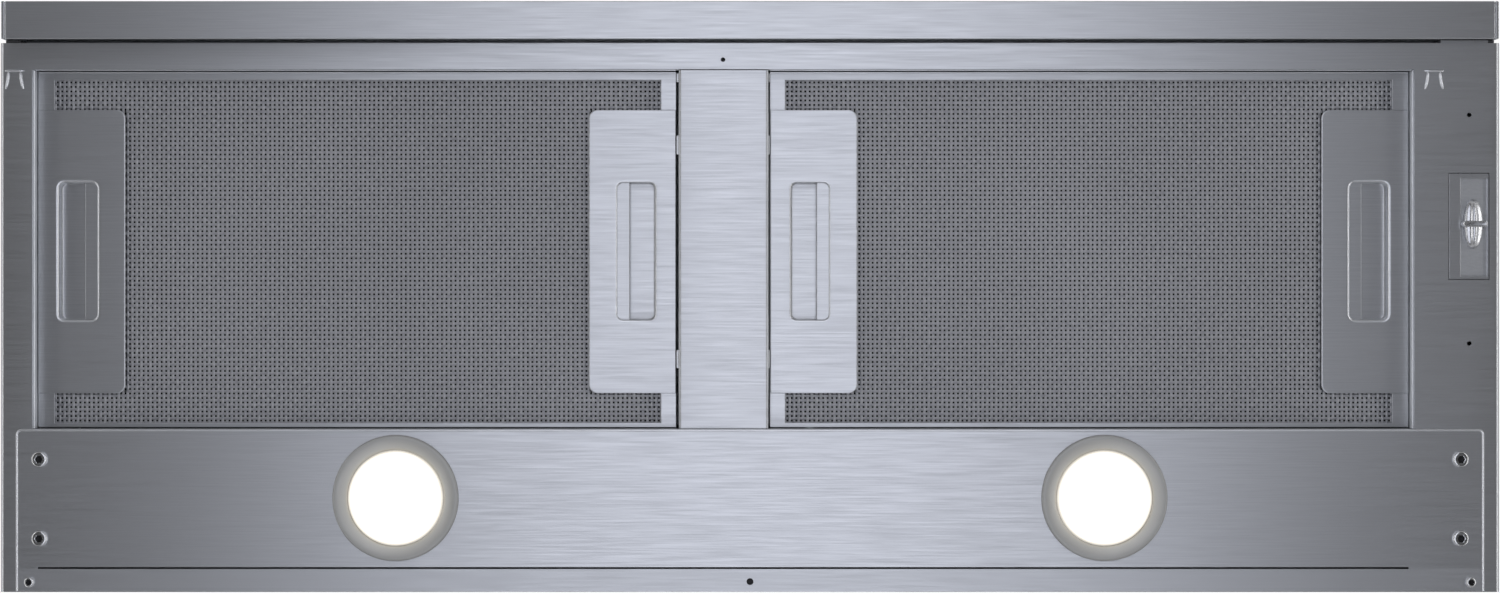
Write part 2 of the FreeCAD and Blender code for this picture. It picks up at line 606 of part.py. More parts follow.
def grease_filter(word, left, right):
    """left and right are the filter's two ends, in order of X."""
    t = s["thin_sheet"]
    shell = block(left.edge, right.edge, -s["filter_front"], s["filter_rear"], s["filter_z"], s["filter_top"])
    hollow = block(left.edge + t, right.edge - t, t - s["filter_front"], s["filter_rear"] - t,
                   s["filter_z"] + t, s["filter_top"] - t)
    window = block(left.edge + left.mesh_edge, right.edge - right.mesh_edge, -s["mesh_front"], s["mesh_rear"],
                   s["filter_z"] - THROUGH, s["filter_top"] + THROUGH)
    relief = []
    cloth_relief = []
    zero = t * 0
    for end in (left, right):
        relief.append(end.span(
            s["pocket_start"] - s["cup_wall"] - 0.3, s["pocket_start"] + s["pocket_wide"],
            -s["pocket_front"] - s["cup_wall"] - 0.3, s["pocket_rear"] + s["cup_wall"] + 0.3,
            s["filter_z"] - THROUGH, s["filter_top"] + THROUGH))
        relief.append(end.span(
            zero - THROUGH, t + THROUGH / 10, latch_y - s["tongue_half"] - 0.5, latch_y + s["tongue_half"] + 0.5,
            s["latch_low"] - 0.2, s["latch_high"] + 0.3))
        cloth_relief.append(end.span(
            zero, s["handle_wide"], -s["pocket_front"] - THROUGH * 2, s["pocket_rear"] + THROUGH * 2,
            s["cloth_low"] - THROUGH, s["cloth_top"] + THROUGH))
    node(f"{word}_filter_frame", cut(shell, hollow, window, *relief))
    g = s["cloth_gap"] + t
    cloth = block(left.edge + g, right.edge - g, g - s["filter_front"], s["filter_rear"] - g,
                  s["cloth_low"], s["cloth_top"])
    node(f"{word}_filter_cloth", cut(cloth, *cloth_relief))
    for end in (left, right):
        filter_handle(f"{word}_{end.word}_handle", end)
        filter_latch(f"{word}_{end.word}_latch", end)


grease_filter(
    "left",
    Ends("outer", -s["filter_outer_left"], 1, s["mesh_outer_edge"]),
    Ends("inner", -s["filter_inner_left"], -1, s["mesh_inner_edge"]))
grease_filter(
    "right",
    Ends("inner", s["filter_inner_right"], 1, s["mesh_inner_edge"]),
    Ends("outer", s["filter_outer_right"], -1, s["mesh_outer_edge"]))

# ---------------------------------------------------------------------------------------------
# Pull-out carriage: front bar, end caps, frame, glass and inner runners
# ---------------------------------------------------------------------------------------------

bar_inner = s["bar_half"] - s["cap_thick"]
bar_corners = [
    (-s["bar_front"], 0), (-s["bar_back"], 0), (-s["bar_back"], s["bar_height"]),
    (-s["bar_front"], s["bar_height"])]
bar_tube = padded("YZ_Plane", bar_corners, bar_inner * 2, both_ways=True)
bar_room = block(-bar_inner - THROUGH, bar_inner + THROUGH, s["bar_wall"] - s["bar_front"],
                 -s["bar_back"] - s["bar_wall"], s["bar_wall"], s["bar_height"] - s["bar_wall"])
bar_back_gap = block(-bar_inner - THROUGH, bar_inner + THROUGH, -s["bar_back"] - s["bar_wall"] - THROUGH,
                     THROUGH - s["bar_back"], s["bar_wall"], s["bar_open"])
node("front_bar", cut(rounded(bar_tube, s["bar_wall"] / 2, along(X)), bar_room, bar_back_gap))
bar_section = (-s["bar_front"], -s["bar_back"], 0, s["bar_height"])
node("left_end_cap", rounded(block(-s["bar_half"], -bar_inner, *bar_section), 0.6, along(X)))
node("right_end_cap", rounded(block(bar_inner, s["bar_half"], *bar_section), 0.6, along(X)))
frame_blank = block(-s["carriage_half"], s["carriage_half"], -s["bar_back"], s["carriage_rear"],
                    s["carriage_low"], s["carriage_top"])
frame_window = block(-s["carriage_inner"], s["carriage_inner"], -s["carriage_inner_front"],
                     s["carriage_inner_rear"], s["carriage_low"] - THROUGH, s["carriage_top"] + THROUGH)
frame_rebate = block(-s["glass_half"], s["glass_half"], -s["glass_front"], s["glass_rear"],
                     s["glass_low"], s["carriage_top"] + THROUGH)
node("carriage_frame", cut(frame_blank, frame_window, frame_rebate))
gap = s["glass_gap"]
node("glass_screen", rounded(
    block(gap - s["glass_half"], s["glass_half"] - gap, gap - s["glass_front"], s["glass_rear"] - gap,
          s["glass_low"], s["glass_low"] + s["glass_thick"]), 2, along(Z)))
for word, side in (("left", -1), ("right", 1)):
    inner_x = sorted((s["carriage_half"] * side, s["inner_runner"] * side), key=number)
    node(f"{word}_inner_runner", block(*inner_x, -s["inner_front"], s["carriage_rear"],
                                       s["inner_low"], s["inner_high"]))
    outer_x = sorted((s["outer_runner"] * side, (s["pan_half"] - s["sheet"]) * side), key=number)
    groove_x = sorted(((s["outer_runner"] - THROUGH) * side, s["groove_to"] * side), key=number)
    node(f"{word}_outer_runner", cut(
        block(*outer_x, -s["outer_front"], s["outer_rear"], s["outer_low"], s["outer_high"]),
        block(*groove_x, -s["outer_front"] - THROUGH, s["outer_rear"] - THROUGH,
              s["inner_low"] - s["runner_gap"], s["inner_high"] + s["runner_gap"])))

# ---------------------------------------------------------------------------------------------
# Top plate, fan housing and its cover
# ---------------------------------------------------------------------------------------------

plate_top = s["pan_top"] + s["sheet"]
skirt_top = plate_top + s["sheet"]
cover_top = s["box_top"] + s["sheet"]
skirt_rivets = [(x, -118) for x in (-240, -144, -48, 48, 144, 240)]
skirt_rivets += [(x, y) for x in (-266, 266) for y in (-90, -15, 60, 130)]
cover_rivets = [(x, y) for x in (-254, 254) for y in (-98, -18, 52, 126)]
cover_rivets += [(x, y) for x in (-210, -105, 105, 210) for y in (-106, 137)]


def rivet_holes(places, top):
    return [rod(s["rivet_shank"], top - s["rivet_deep"] - THROUGH, top + THROUGH, *place_xy)
            for place_xy in places]


fix_holes = [rod(s["fix_hole"], s["pan_top"] - THROUGH, plate_top + THROUGH, s["fix_x"] * side, y)
             for side in (-1, 1) for y in (-s["fix_front"], s["fix_rear"])]
node("top_plate", cut(
    block(-s["pan_half"], s["pan_half"], -s["pan_front"], s["pan_rear"], s["pan_top"], plate_top),
    block(-s["plate_open_half"], s["plate_open_half"], -s["plate_open_front"], s["plate_open_rear"],
          s["pan_top"] - THROUGH, plate_top + THROUGH), *fix_holes, *rivet_holes(skirt_rivets, plate_top)))
housing_skirt = block(-s["box_half"] - s["box_flange"], s["box_half"] + s["box_flange"],
                      -s["box_front"] - s["box_flange"], s["box_rear"], plate_top, skirt_top)
housing_shell = block(-s["box_half"], s["box_half"], -s["box_front"], s["box_rear"], plate_top, s["box_top"])
housing_room = block(s["sheet"] - s["box_half"], s["box_half"] - s["sheet"], s["sheet"] - s["box_front"],
                     s["box_rear"] - s["sheet"], plate_top - THROUGH, s["box_top"] - s["sheet"])
housing_mouth = block(s["box_flange"] - s["box_half"], s["box_half"] - s["box_flange"],
                      s["box_flange"] - s["box_front"], s["box_rear"] - s["box_flange"],
                      s["box_top"] - THROUGH, s["box_top"] + THROUGH)
node("fan_housing", cut(fuse(housing_skirt, housing_shell), housing_room, housing_mouth,
                        *rivet_holes(skirt_rivets, skirt_top), *rivet_holes(cover_rivets, s["box_top"])))
node("housing_cover", cut(
    block(-s["box_half"], s["box_half"], -s["box_front"], s["box_rear"], s["box_top"], cover_top),
    rod(s["collar_inner"], s["box_top"] - THROUGH, cover_top + THROUGH, 0, s["duct_y"]),
    rod(s["gland_body"] + s["hole_gap"], s["box_top"] - THROUGH, cover_top + THROUGH,
        -s["gland_x"], s["gland_y"]), *rivet_holes(cover_rivets, cover_top)))


def rivet(x, y, seat):
    head = s["rivet_head"]
    return turned(
        [(0, -s["rivet_deep"]), (s["rivet_shank"], -s["rivet_deep"]), (s["rivet_shank"], 0), (head, 0),
         (head * 0.85, s["rivet_high"] * 0.6), (head * 0.5, s["rivet_high"]), (0, s["rivet_high"])], x, y, seat)


node("housing_rivets", compound(
    *[rivet(x, y, skirt_top) for x, y in skirt_rivets],
    *[rivet(x, y, cover_top) for x, y in cover_rivets]))

# ---------------------------------------------------------------------------------------------
# Duct collar and the two back-draught flaps
# ---------------------------------------------------------------------------------------------

collar_ring = turned(
    [(s["collar_inner"], cover_top), (s["collar_flange"], cover_top),
     (s["collar_flange"], cover_top + s["sheet"]), (s["collar_outer"], cover_top + s["sheet"]),
     (s["collar_outer"], s["total_height"]), (s["collar_inner"], s["total_height"])],
    0, s["duct_y"], 0)
pivot_reach = s["collar_outer"] + THROUGH
pivots = [rod(s["spindle"] + s["spindle_gap"], -pivot_reach, pivot_reach,
              s["duct_y"] + s["flap_offset"] * side, s["flap_z"], "x") for side in (-1, 1)]
node("duct_collar", cut(collar_ring, *pivots))


def flap(label, side):
    """side is -1 for the front flap and 1 for the rear one."""
    hinge_y = s["duct_y"] + s["flap_offset"] * side
    low = s["flap_z"] - s["flap_thick"] / 2
    disc = rod(s["flap_radius"], low, low + s["flap_thick"], 0, s["duct_y"])
    reach = s["collar_outer"] * 2
    away = sorted((hinge_y, hinge_y - reach * side), key=number)
    waste = block(-reach, reach, *away, low - THROUGH, low + THROUGH * 2)
    sleeve = rod(s["sleeve"], -s["sleeve_half"], s["sleeve_half"], hinge_y, s["flap_z"], "x")
    pin = rod(s["spindle"], -s["collar_outer"], s["collar_outer"], hinge_y, s["flap_z"], "x")
    node(label, fuse(cut(disc, waste), sleeve, pin))


flap("front_damper_flap", -1)
flap("rear_damper_flap", 1)

# ---------------------------------------------------------------------------------------------
# Cable gland, where the mains cord leaves the housing
# ---------------------------------------------------------------------------------------------

node("cable_gland", turned(
    [(s["gland_bore"], s["gland_low"]), (s["gland_nut"], s["gland_low"]),
     (s["gland_nut"], s["box_top"] - 3), (s["gland_body"], s["box_top"] - 3), (s["gland_body"], cover_top),
     (s["gland_nut"], cover_top), (s["gland_nut"], cover_top + 6), (s["gland_body"], cover_top + 8),
     (s["gland_body"] - 1, s["gland_top"]), (s["gland_bore"], s["gland_top"])],
    -s["gland_x"], s["gland_y"], 0))

# ---------------------------------------------------------------------------------------------
# Blower: scroll wrap, side plates, wheel, shaft, motor and bracket
# ---------------------------------------------------------------------------------------------

fan_y = -s["fan_y"]
fan_z = s["fan_z"]
scroll_top = s["box_top"] - s["sheet"]


def scroll_path(grow):
    """The scroll's outline in the YZ plane, from the cut-off up round to the outlet, set out by grow."""
    y, z = number(fan_y), number(fan_z)
    step = sheet.scroll_step
    first = sheet.scroll_start + grow
    cutoff = sheet.cutoff + grow
    top = number(scroll_top)
    tip = math.degrees(math.acos(-cutoff / first))
    arcs = ((y, z, first, tip, 180), (y + step, z, first + step, 180, 270),
            (y + step, z + step, first + step * 2, 270, 360))
    edges = [Part.makeLine(FreeCAD.Vector(0, y - cutoff, top),
                           FreeCAD.Vector(0, y - cutoff, z + first * math.sin(math.radians(tip))))]
    for centre_y, centre_z, radius, a, b in arcs:
        marks = [FreeCAD.Vector(0, centre_y + radius * math.cos(math.radians(angle)),
                                centre_z + radius * math.sin(math.radians(angle)))
                 for angle in (a, (a + b) / 2, b)]
        edges.append(Part.Arc(*marks).toShape())
    right = y + step * 3 + first
    edges.append(Part.makeLine(FreeCAD.Vector(0, right, z + step), FreeCAD.Vector(0, right, top)))
    return edges


def face_from(edges, *closing):
    return Part.Face(Part.Wire(Part.__sortEdges__(list(edges) + list(closing))))


inner_path = scroll_path(0)
outer_path = scroll_path(sheet.sheet)


def end_points(path):
    top = number(scroll_top)
    points = [v.Point for edge in (path[0], path[-1]) for v in edge.Vertexes if abs(v.Point.z - top) < 1e-6]
    return sorted(points, key=lambda point: point.y)


inner_ends, outer_ends = end_points(inner_path), end_points(outer_path)
wrap_face = face_from(inner_path + outer_path, Part.makeLine(outer_ends[0], inner_ends[0]),
                      Part.makeLine(inner_ends[1], outer_ends[1]))
wrap = doc.addObject("Part::Feature", "wrap")
wrap.Shape = wrap_face.extrude(FreeCAD.Vector(2 * sheet.scroll_half, 0, 0))
place(wrap, -s["scroll_half"], 0, 0)
node("blower_wrap", wrap)
side_face = face_from(outer_path, Part.makeLine(outer_ends[0], outer_ends[1]))
for word, side in (("left", -1), ("right", 1)):
    plate = doc.addObject("Part::Feature", inner_name("side"))
    plate.Shape = side_face.extrude(FreeCAD.Vector(sheet.sheet, 0, 0))
    place(plate, s["scroll_half"] if side > 0 else -s["scroll_half"] - s["sheet"], 0, 0)
    inlet_x = sorted(((s["scroll_half"] - THROUGH) * side, (s["scroll_half"] + THROUGH) * side), key=number)
    node(f"{word}_blower_side", cut(plate, rod(s["inlet"], *inlet_x, fan_y, fan_z, "x")))

wheel = doc.addObject("PartDesign::Body", "wheel")


def ring_sketch(radii):
    sketch = wheel.newObject("Sketcher::SketchObject", inner_name("ring"))
    sketch.AttachmentSupport = [(origin_plane(wheel, "YZ_Plane"), "")]
    sketch.MapMode = "FlatFace"
    for index, radius in enumerate(radii):
        sketch.addGeometry(Part.Circle(FreeCAD.Vector(), FreeCAD.Vector(0, 0, 1), number(radius)), False)
        sketch.addConstraint(Sketcher.Constraint("Coincident", index, 3, -1, 1))
        at = sketch.addConstraint(Sketcher.Constraint("Radius", index, number(radius)))
        sketch.setExpression(f"Constraints[{at}]", radius.text)
    return sketch


def wheel_pad(sketch, length, offset=None):
    pad = wheel.newObject("PartDesign::Pad", inner_name("wheel_pad"))
    pad.Profile = sketch
    bind(pad, "Length", length)
    pad.Midplane = offset is None
    if offset is not None:
        sketch.setExpression("AttachmentOffset.Base.z", offset.text)
    return pad


wheel_pad(ring_sketch([s["wheel_outer"], s["shaft_radius"]]), s["wheel_disc"])
wheel_pad(ring_sketch([s["hub_radius"], s["shaft_radius"]]), s["hub_half"] * 2)
half_blade = s["blade_thick"] / 2
blade_sketch = profile(wheel, "YZ_Plane", [
    (s["wheel_inner"], -half_blade), (s["wheel_outer"] - 0.3, -half_blade * 9),
    (s["wheel_outer"] - 0.3, -half_blade * 7), (s["wheel_inner"], half_blade)])
blade = wheel_pad(blade_sketch, s["wheel_half"] * 2)
pattern = wheel.newObject("PartDesign::PolarPattern", "blades")
pattern.Originals = [blade]
pattern.Axis = (blade_sketch, ["N_Axis"])
pattern.Angle = 360
bind(pattern, "Occurrences", s["blade_count"])
wheel.Tip = pattern
for offset in (s["wheel_half"] - s["wheel_ring"], -s["wheel_half"]):
    wheel_pad(ring_sketch([s["wheel_outer"], s["wheel_inner"]]), s["wheel_ring"], offset)
place(wheel, 0, fan_y, fan_z)
node("impeller", wheel)

node("motor_shaft", rod(s["shaft_radius"], -s["shaft_from"], s["shaft_to"], fan_y, fan_z, "x"))
shaft_way = rod(s["shaft_radius"] + s["shaft_gap"], s["boss_from"] - THROUGH, s["shaft_to"] + 1,
                fan_y, fan_z, "x")
node("motor_body", cut(
    fuse(rod(s["motor_radius"], s["motor_from"], s["motor_to"], fan_y, fan_z, "x"),
         rod(s["motor_boss"], s["boss_from"], s["motor_from"], fan_y, fan_z, "x")), shaft_way))
strap = cut(
    rod(s["motor_radius"] + s["strap_thick"], s["strap_from"], s["strap_to"], fan_y, fan_z, "x"),
    rod(s["motor_radius"], s["strap_from"] - THROUGH, s["strap_to"] + THROUGH, fan_y, fan_z, "x"))
bracket_parts = [strap]
side_out = s["scroll_half"] + s["sheet"]
reach = (s["motor_radius"] + s["strap_thick"] / 2, s["arm_reach"])
for direction in (-1, 1):
    level = sorted((fan_z + reach[0] * direction, fan_z + reach[1] * direction), key=number)
    foot_end = sorted((fan_z + (s["inlet"] + 1) * direction, fan_z + reach[1] * direction), key=number)
    arm = (fan_y - s["arm_half"], fan_y + s["arm_half"])
    bracket_parts.append(block(s["strap_to"] - s["arm_thick"], s["strap_to"], *arm, *level))
    outer_level = sorted((fan_z + (reach[1] - s["arm_thick"]) * direction, fan_z + reach[1] * direction),
                         key=number)
    bracket_parts.append(block(side_out, s["strap_to"], *arm, *outer_level))
    bracket_parts.append(block(side_out, side_out + s["arm_thick"], *arm, *foot_end))
node("motor_bracket", fuse(*bracket_parts))

# ---------------------------------------------------------------------------------------------
# Run capacitor and electronics, standing on the top plate
# ---------------------------------------------------------------------------------------------

can_top = plate_top + s["cap_height"]
blades = [block(s["cap_x"] + x - 3, s["cap_x"] + x + 3, s["cap_y"] - 0.4, s["cap_y"] + 0.4,
                can_top - 1, can_top + s["cap_blade"]) for x in (-6, 6)]
node("run_capacitor", fuse(rod(s["cap_radius"], plate_top, can_top, s["cap_x"], s["cap_y"]), *blades))
case_top = plate_top + s["case_height"]
wall = s["case_wall"]
case_room = block(wall - s["case_left"], -s["case_right"] - wall, wall - s["case_front"],
                  s["case_rear"] - wall, plate_top + wall, case_top + THROUGH)
lead_way = block(-s["case_right"] - wall - 1, -s["case_right"] + 1, s["case_rear"] - 30,
                 s["case_rear"] - 10, case_top - 14, case_top + THROUGH)
node("electronics_box", cut(
    block(-s["case_left"], -s["case_right"], -s["case_front"], s["case_rear"], plate_top, case_top),
    case_room, lead_way))
node("electronics_lid", rounded(
    block(-s["case_left"], -s["case_right"], -s["case_front"], s["case_rear"], case_top,
          case_top + s["lid_thick"]), 3, along(Z)))
board_low = plate_top + wall + s["board_lift"]
board_x = (wall + s["board_gap"] - s["case_left"], -s["case_right"] - wall - s["board_gap"])
board_y = (wall + s["board_gap"] - s["case_front"], s["case_rear"] - wall - s["board_gap"])
board_high = board_low + s["board_thick"]
board_parts = [block(*board_x, *board_y, board_low, board_high)]
for x, y, long, wide, high in ((6, 8, 24, 20, 18), (38, 8, 20, 34, 15), (8, 40, 18, 28, 22), (8, 92, 44, 16, 12)):
    board_parts.append(block(board_x[0] + x, board_x[0] + (x + long), board_y[0] + y, board_y[0] + (y + wide),
                             board_high, board_high + high))
for x, y in ((38, 60), (52, 60), (38, 76)):
    board_parts.append(rod(5, board_high, board_high + 16, board_x[0] + x, board_y[0] + y))
post_base = plate_top + wall
for x in (board_x[0] + 4, board_x[1] - 4):
    for y in (board_y[0] + 4, board_y[1] - 4):
        board_parts.append(rod(2.5, post_base, board_low, x, y))
node("circuit_board", fuse(*board_parts))

# ---------------------------------------------------------------------------------------------
# Microswitch that the closed carriage presses
# ---------------------------------------------------------------------------------------------

micro_x = (s["micro_left"] + s["micro_right"]) / 2
micro_z = (s["micro_low"] + s["micro_high"]) / 2
node("microswitch_body", cut(
    fuse(block(s["micro_left"], s["micro_right"], s["micro_front"], s["micro_rear"],
               s["micro_low"], s["micro_high"]),
         block(s["micro_left"], s["micro_right"], s["micro_rear"] - 2, s["micro_rear"],
               s["micro_high"], s["pan_top"])),
    rod(s["button_radius"] + s["button_gap"], s["micro_front"] - THROUGH, s["button_hole_rear"],
        micro_x, micro_z, "y")))
node("microswitch_plunger", rod(s["button_radius"], s["button_front"], s["button_rear"],
                                micro_x, micro_z, "y"))

# ---------------------------------------------------------------------------------------------
# Recompute, check and write
# ---------------------------------------------------------------------------------------------

doc.recompute()
for item in doc.Objects:
    if "Invalid" in item.State or "Error" in item.State:
        raise RuntimeError(f"{item.Label}: state {item.State}")
for item in nodes:
    if item.Shape.isNull() or not item.Shape.isValid():
        raise RuntimeError(f"{item.Label}: bad shape")
    if not item.Shape.Solids:
        raise RuntimeError(f"{item.Label}: no solid")
    item.Shape.exportStep(f"parts/{item.Label}.step")
print("nodes", len(nodes), "solids", sum(len(item.Shape.Solids) for item in nodes))
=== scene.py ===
"""Looks of the slide-out cooker hood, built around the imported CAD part."""

import math

import bpy
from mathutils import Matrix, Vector


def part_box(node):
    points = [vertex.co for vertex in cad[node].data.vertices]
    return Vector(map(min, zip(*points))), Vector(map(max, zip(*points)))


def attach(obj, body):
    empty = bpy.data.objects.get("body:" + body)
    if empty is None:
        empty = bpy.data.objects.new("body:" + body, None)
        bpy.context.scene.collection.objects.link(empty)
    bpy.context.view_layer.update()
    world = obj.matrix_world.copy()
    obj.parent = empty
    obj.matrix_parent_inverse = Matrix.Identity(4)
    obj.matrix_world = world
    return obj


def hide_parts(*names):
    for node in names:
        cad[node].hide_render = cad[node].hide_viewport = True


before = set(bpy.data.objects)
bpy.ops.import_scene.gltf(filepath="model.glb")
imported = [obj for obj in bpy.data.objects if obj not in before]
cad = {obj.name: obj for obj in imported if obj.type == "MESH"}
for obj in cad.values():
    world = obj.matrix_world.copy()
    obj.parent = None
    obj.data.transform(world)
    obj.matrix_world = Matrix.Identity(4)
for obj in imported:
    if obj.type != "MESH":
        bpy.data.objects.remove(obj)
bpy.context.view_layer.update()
MM = 0.001

# ---------------------------------------------------------------------------------------------
# Materials
# ---------------------------------------------------------------------------------------------


class Graph:
    """A short way to write one material's node tree."""

    def __init__(self, name):
        self.material = bpy.data.materials.new(name)
        self.material.use_nodes = True
        self.nodes = self.material.node_tree.nodes
        self.links = self.material.node_tree.links
        self.nodes.clear()
        self.surface = self.add("ShaderNodeBsdfPrincipled")
        self.output = self.add("ShaderNodeOutputMaterial", {"Surface": self.surface.outputs[0]})
        where = self.add("ShaderNodeTexCoord")
        self.place = where.outputs["Object"]
        self.facing = where.outputs["Normal"]

    def add(self, kind, inputs=None, **settings):
        node = self.nodes.new(kind)
        for key, value in settings.items():
            setattr(node, key, value)
        for key, value in (inputs or {}).items():
            if isinstance(value, bpy.types.NodeSocket):
                self.links.new(value, node.inputs[key])
            else:
                node.inputs[key].default_value = value
        return node

    def noise(self, scale, detail=3.0, rough=0.55):
        """Noise whose repeat is given per metre on each axis."""
        spread = self.add("ShaderNodeMapping", {"Vector": self.place, "Scale": scale})
        made = self.add("ShaderNodeTexNoise", {
            "Vector": spread.outputs[0], "Scale": 1.0, "Detail": detail, "Roughness": rough})
        return made.outputs["Fac"]

    def cells(self, scale, feature="F1"):
        """Voronoi cells whose repeat is given per metre on each axis."""
        spread = self.add("ShaderNodeMapping", {"Vector": self.place, "Scale": scale})
        made = self.add("ShaderNodeTexVoronoi", {"Vector": spread.outputs[0], "Scale": 1.0}, feature=feature)
        return made.outputs

    def distance(self, centre):
        """Distance in metres from a point of the shared frame."""
        return self.vector("DISTANCE", self.place, centre).outputs["Value"]

    def remap(self, value, low, high, to_low, to_high):
        made = self.add("ShaderNodeMapRange", {
            "Value": value, "From Min": low, "From Max": high, "To Min": to_low, "To Max": to_high})
        return made.outputs[0]

    def blend(self, value, dark, light):
        """A colour from dark to light as the noise value goes through its usual spread."""
        return self.mix(self.remap(value, 0.3, 0.7, 0.0, 1.0), dark, light)

    def mix(self, factor, a, b):
        """A colour between a and b."""
        return self.add("ShaderNodeMix", {0: factor, 6: colour(a), 7: colour(b)}, data_type="RGBA").outputs[2]

    def weigh(self, first, share, second, other_share):
        """The sum of two values, each times its share."""
        scaled = self.math("MULTIPLY", first, share)
        return self.math("ADD", scaled, self.math("MULTIPLY", second, other_share))

    def math(self, operation, *values):
        return self.add("ShaderNodeMath", dict(enumerate(values)), operation=operation).outputs[0]

    def vector(self, operation, *values):
        return self.add("ShaderNodeVectorMath", dict(enumerate(values)), operation=operation)

    def bump(self, height, distance, under=None):
        """Relief of that depth in mm, on top of another relief if one is given."""
        inputs = {"Height": height, "Distance": distance * MM, "Strength": 1.0}
        if under is not None:
            inputs["Normal"] = under
        return self.add("ShaderNodeBump", inputs).outputs[0]

    def edges(self, radius):
        """1 along worn edges within that radius in mm, 0 on open faces."""
        soft = self.add("ShaderNodeBevel", {"Radius": radius * MM}, samples=4)
        straight = self.add("ShaderNodeNewGeometry")
        agree = self.vector("DOT_PRODUCT", soft.outputs[0], straight.outputs["Normal"])
        return self.remap(agree.outputs["Value"], 0.995, 0.9, 0.0, 1.0)

    def finish(self, **inputs):
        """Sets the surface's inputs, spaces written as underscores, and returns the material."""
        for key, value in inputs.items():
            socket = self.surface.inputs[key.replace("_", " ")]
            if isinstance(value, bpy.types.NodeSocket):
                self.links.new(value, socket)
            elif isinstance(value, tuple):
                socket.default_value = colour(value)
            else:
                socket.default_value = value
        return self.material


def colour(value):
    """A tuple of three gets an alpha; a socket stays as it is."""
    return (*value, 1.0) if isinstance(value, tuple) and len(value) == 3 else value


STREAK = (34.0, 1500.0, 1500.0)
BRUSH_DEPTH = 0.008


def brushed(name, dark, light, roughness=(0.40, 0.50), anisotropic=0.75, streak=STREAK, dull_from=None):
    """Sheet steel brushed along X, or along Z on faces that look sideways. Behind dull_from, in mm on Y, the
    brushing is duller and darker."""
    g = Graph(name)
    turned = (streak[1], streak[2], streak[0])
    side = g.add("ShaderNodeSeparateXYZ", {0: g.facing}).outputs["X"]
    side = g.math("GREATER_THAN", g.math("ABSOLUTE", side), 0.7)
    flat_grain = g.noise(streak, 4.0, 0.6)
    wall_grain = g.noise(turned, 4.0, 0.6)
    grain = g.add("ShaderNodeMix", {0: side, 2: flat_grain, 3: wall_grain}, data_type="FLOAT").outputs[0]
    cloud = g.noise((3.0, 60.0, 60.0), 2.0, 0.5)
    tone = g.remap(g.weigh(grain, 0.92, cloud, 0.08), 0.32, 0.68, 0.0, 1.0)
    along_x, along_z = (1.0, 0.0, 0.0), (0.0, 0.0, 1.0)
    brush = g.add("ShaderNodeMix", {0: side, 4: along_x, 5: along_z}, data_type="VECTOR").outputs[1]
    across = g.vector("CROSS_PRODUCT", g.facing, brush).outputs[0]
    across = g.add(
        "ShaderNodeVectorTransform", {0: across}, vector_type="VECTOR", convert_from="OBJECT",
        convert_to="WORLD").outputs[0]
    rough = g.remap(grain, 0.3, 0.7, roughness[1], roughness[0])
    if dull_from is not None:
        rearward = g.add("ShaderNodeSeparateXYZ", {0: g.place}).outputs["Y"]
        behind = g.math("GREATER_THAN", rearward, dull_from * MM)
        rough = g.math("MULTIPLY_ADD", behind, 0.03, rough)
        anisotropic = g.remap(behind, 0.0, 1.0, anisotropic, 0.68)
        tone = g.math("MULTIPLY_ADD", behind, -0.9, tone)
    return g.finish(
        Base_Color=g.mix(tone, dark, light), Metallic=1.0, Roughness=rough,
        Anisotropic=anisotropic, Tangent=across, Normal=g.bump(grain, BRUSH_DEPTH))


def galvanised():
    """Zinc-coated sheet with its crystal pattern."""
    g = Graph("galvanised")
    crystal = g.cells((130.0, 130.0, 130.0))
    shade = g.add("ShaderNodeSeparateColor", {0: crystal["Color"]}).outputs[0]
    fine = g.noise((900.0, 900.0, 900.0), 3.0)
    smear = g.noise((14.0, 14.0, 14.0), 4.0, 0.6)
    tone = g.weigh(shade, 0.6, smear, 0.5)
    base = g.mix(tone, (0.42, 0.44, 0.455), (0.62, 0.64, 0.655))
    worn = g.mix(g.edges(0.9), base, (0.78, 0.79, 0.80))
    rough = g.math("ADD", g.remap(shade, 0.0, 1.0, 0.30, 0.46), g.remap(fine, 0.3, 0.7, -0.03, 0.05))
    low = g.bump(shade, 0.02)
    return g.finish(Base_Color=worn, Metallic=0.92, Roughness=rough, Normal=g.bump(fine, 0.008, under=low))


def plated(name, dark, light, roughness=(0.24, 0.38)):
    """Bright zinc plating: cloudy, with fine scratches."""
    g = Graph(name)
    cloud = g.noise((220.0, 220.0, 220.0), 4.0)
    scratch = g.noise((60.0, 2600.0, 2600.0), 2.0)
    return g.finish(
        Base_Color=g.blend(g.weigh(cloud, 0.7, scratch, 0.3), dark, light), Metallic=1.0,
        Roughness=g.remap(cloud, 0.3, 0.7, *roughness), Normal=g.bump(scratch, 0.006))


def chrome():
    """Chrome with a slight haze and polishing marks."""
    g = Graph("chrome")
    haze = g.noise((400.0, 400.0, 400.0), 4.0)
    swirl = g.noise((2400.0, 300.0, 2400.0), 2.0)
    return g.finish(
        Base_Color=g.mix(haze, (0.62, 0.625, 0.64), (0.70, 0.705, 0.72)), Metallic=1.0,
        Roughness=g.remap(haze, 0.35, 0.65, 0.24, 0.32), Normal=g.bump(swirl, 0.0015))


def aluminium():
    """Bare aluminium, cloudy and finely grained."""
    g = Graph("aluminium")
    cast = g.noise((1500.0, 1500.0, 1500.0), 3.0)
    cloud = g.noise((60.0, 60.0, 60.0), 4.0)
    return g.finish(
        Base_Color=g.blend(cloud, (0.60, 0.61, 0.63), (0.74, 0.75, 0.76)), Metallic=1.0,
        Roughness=g.remap(cast, 0.3, 0.7, 0.30, 0.46), Normal=g.bump(cast, 0.01))


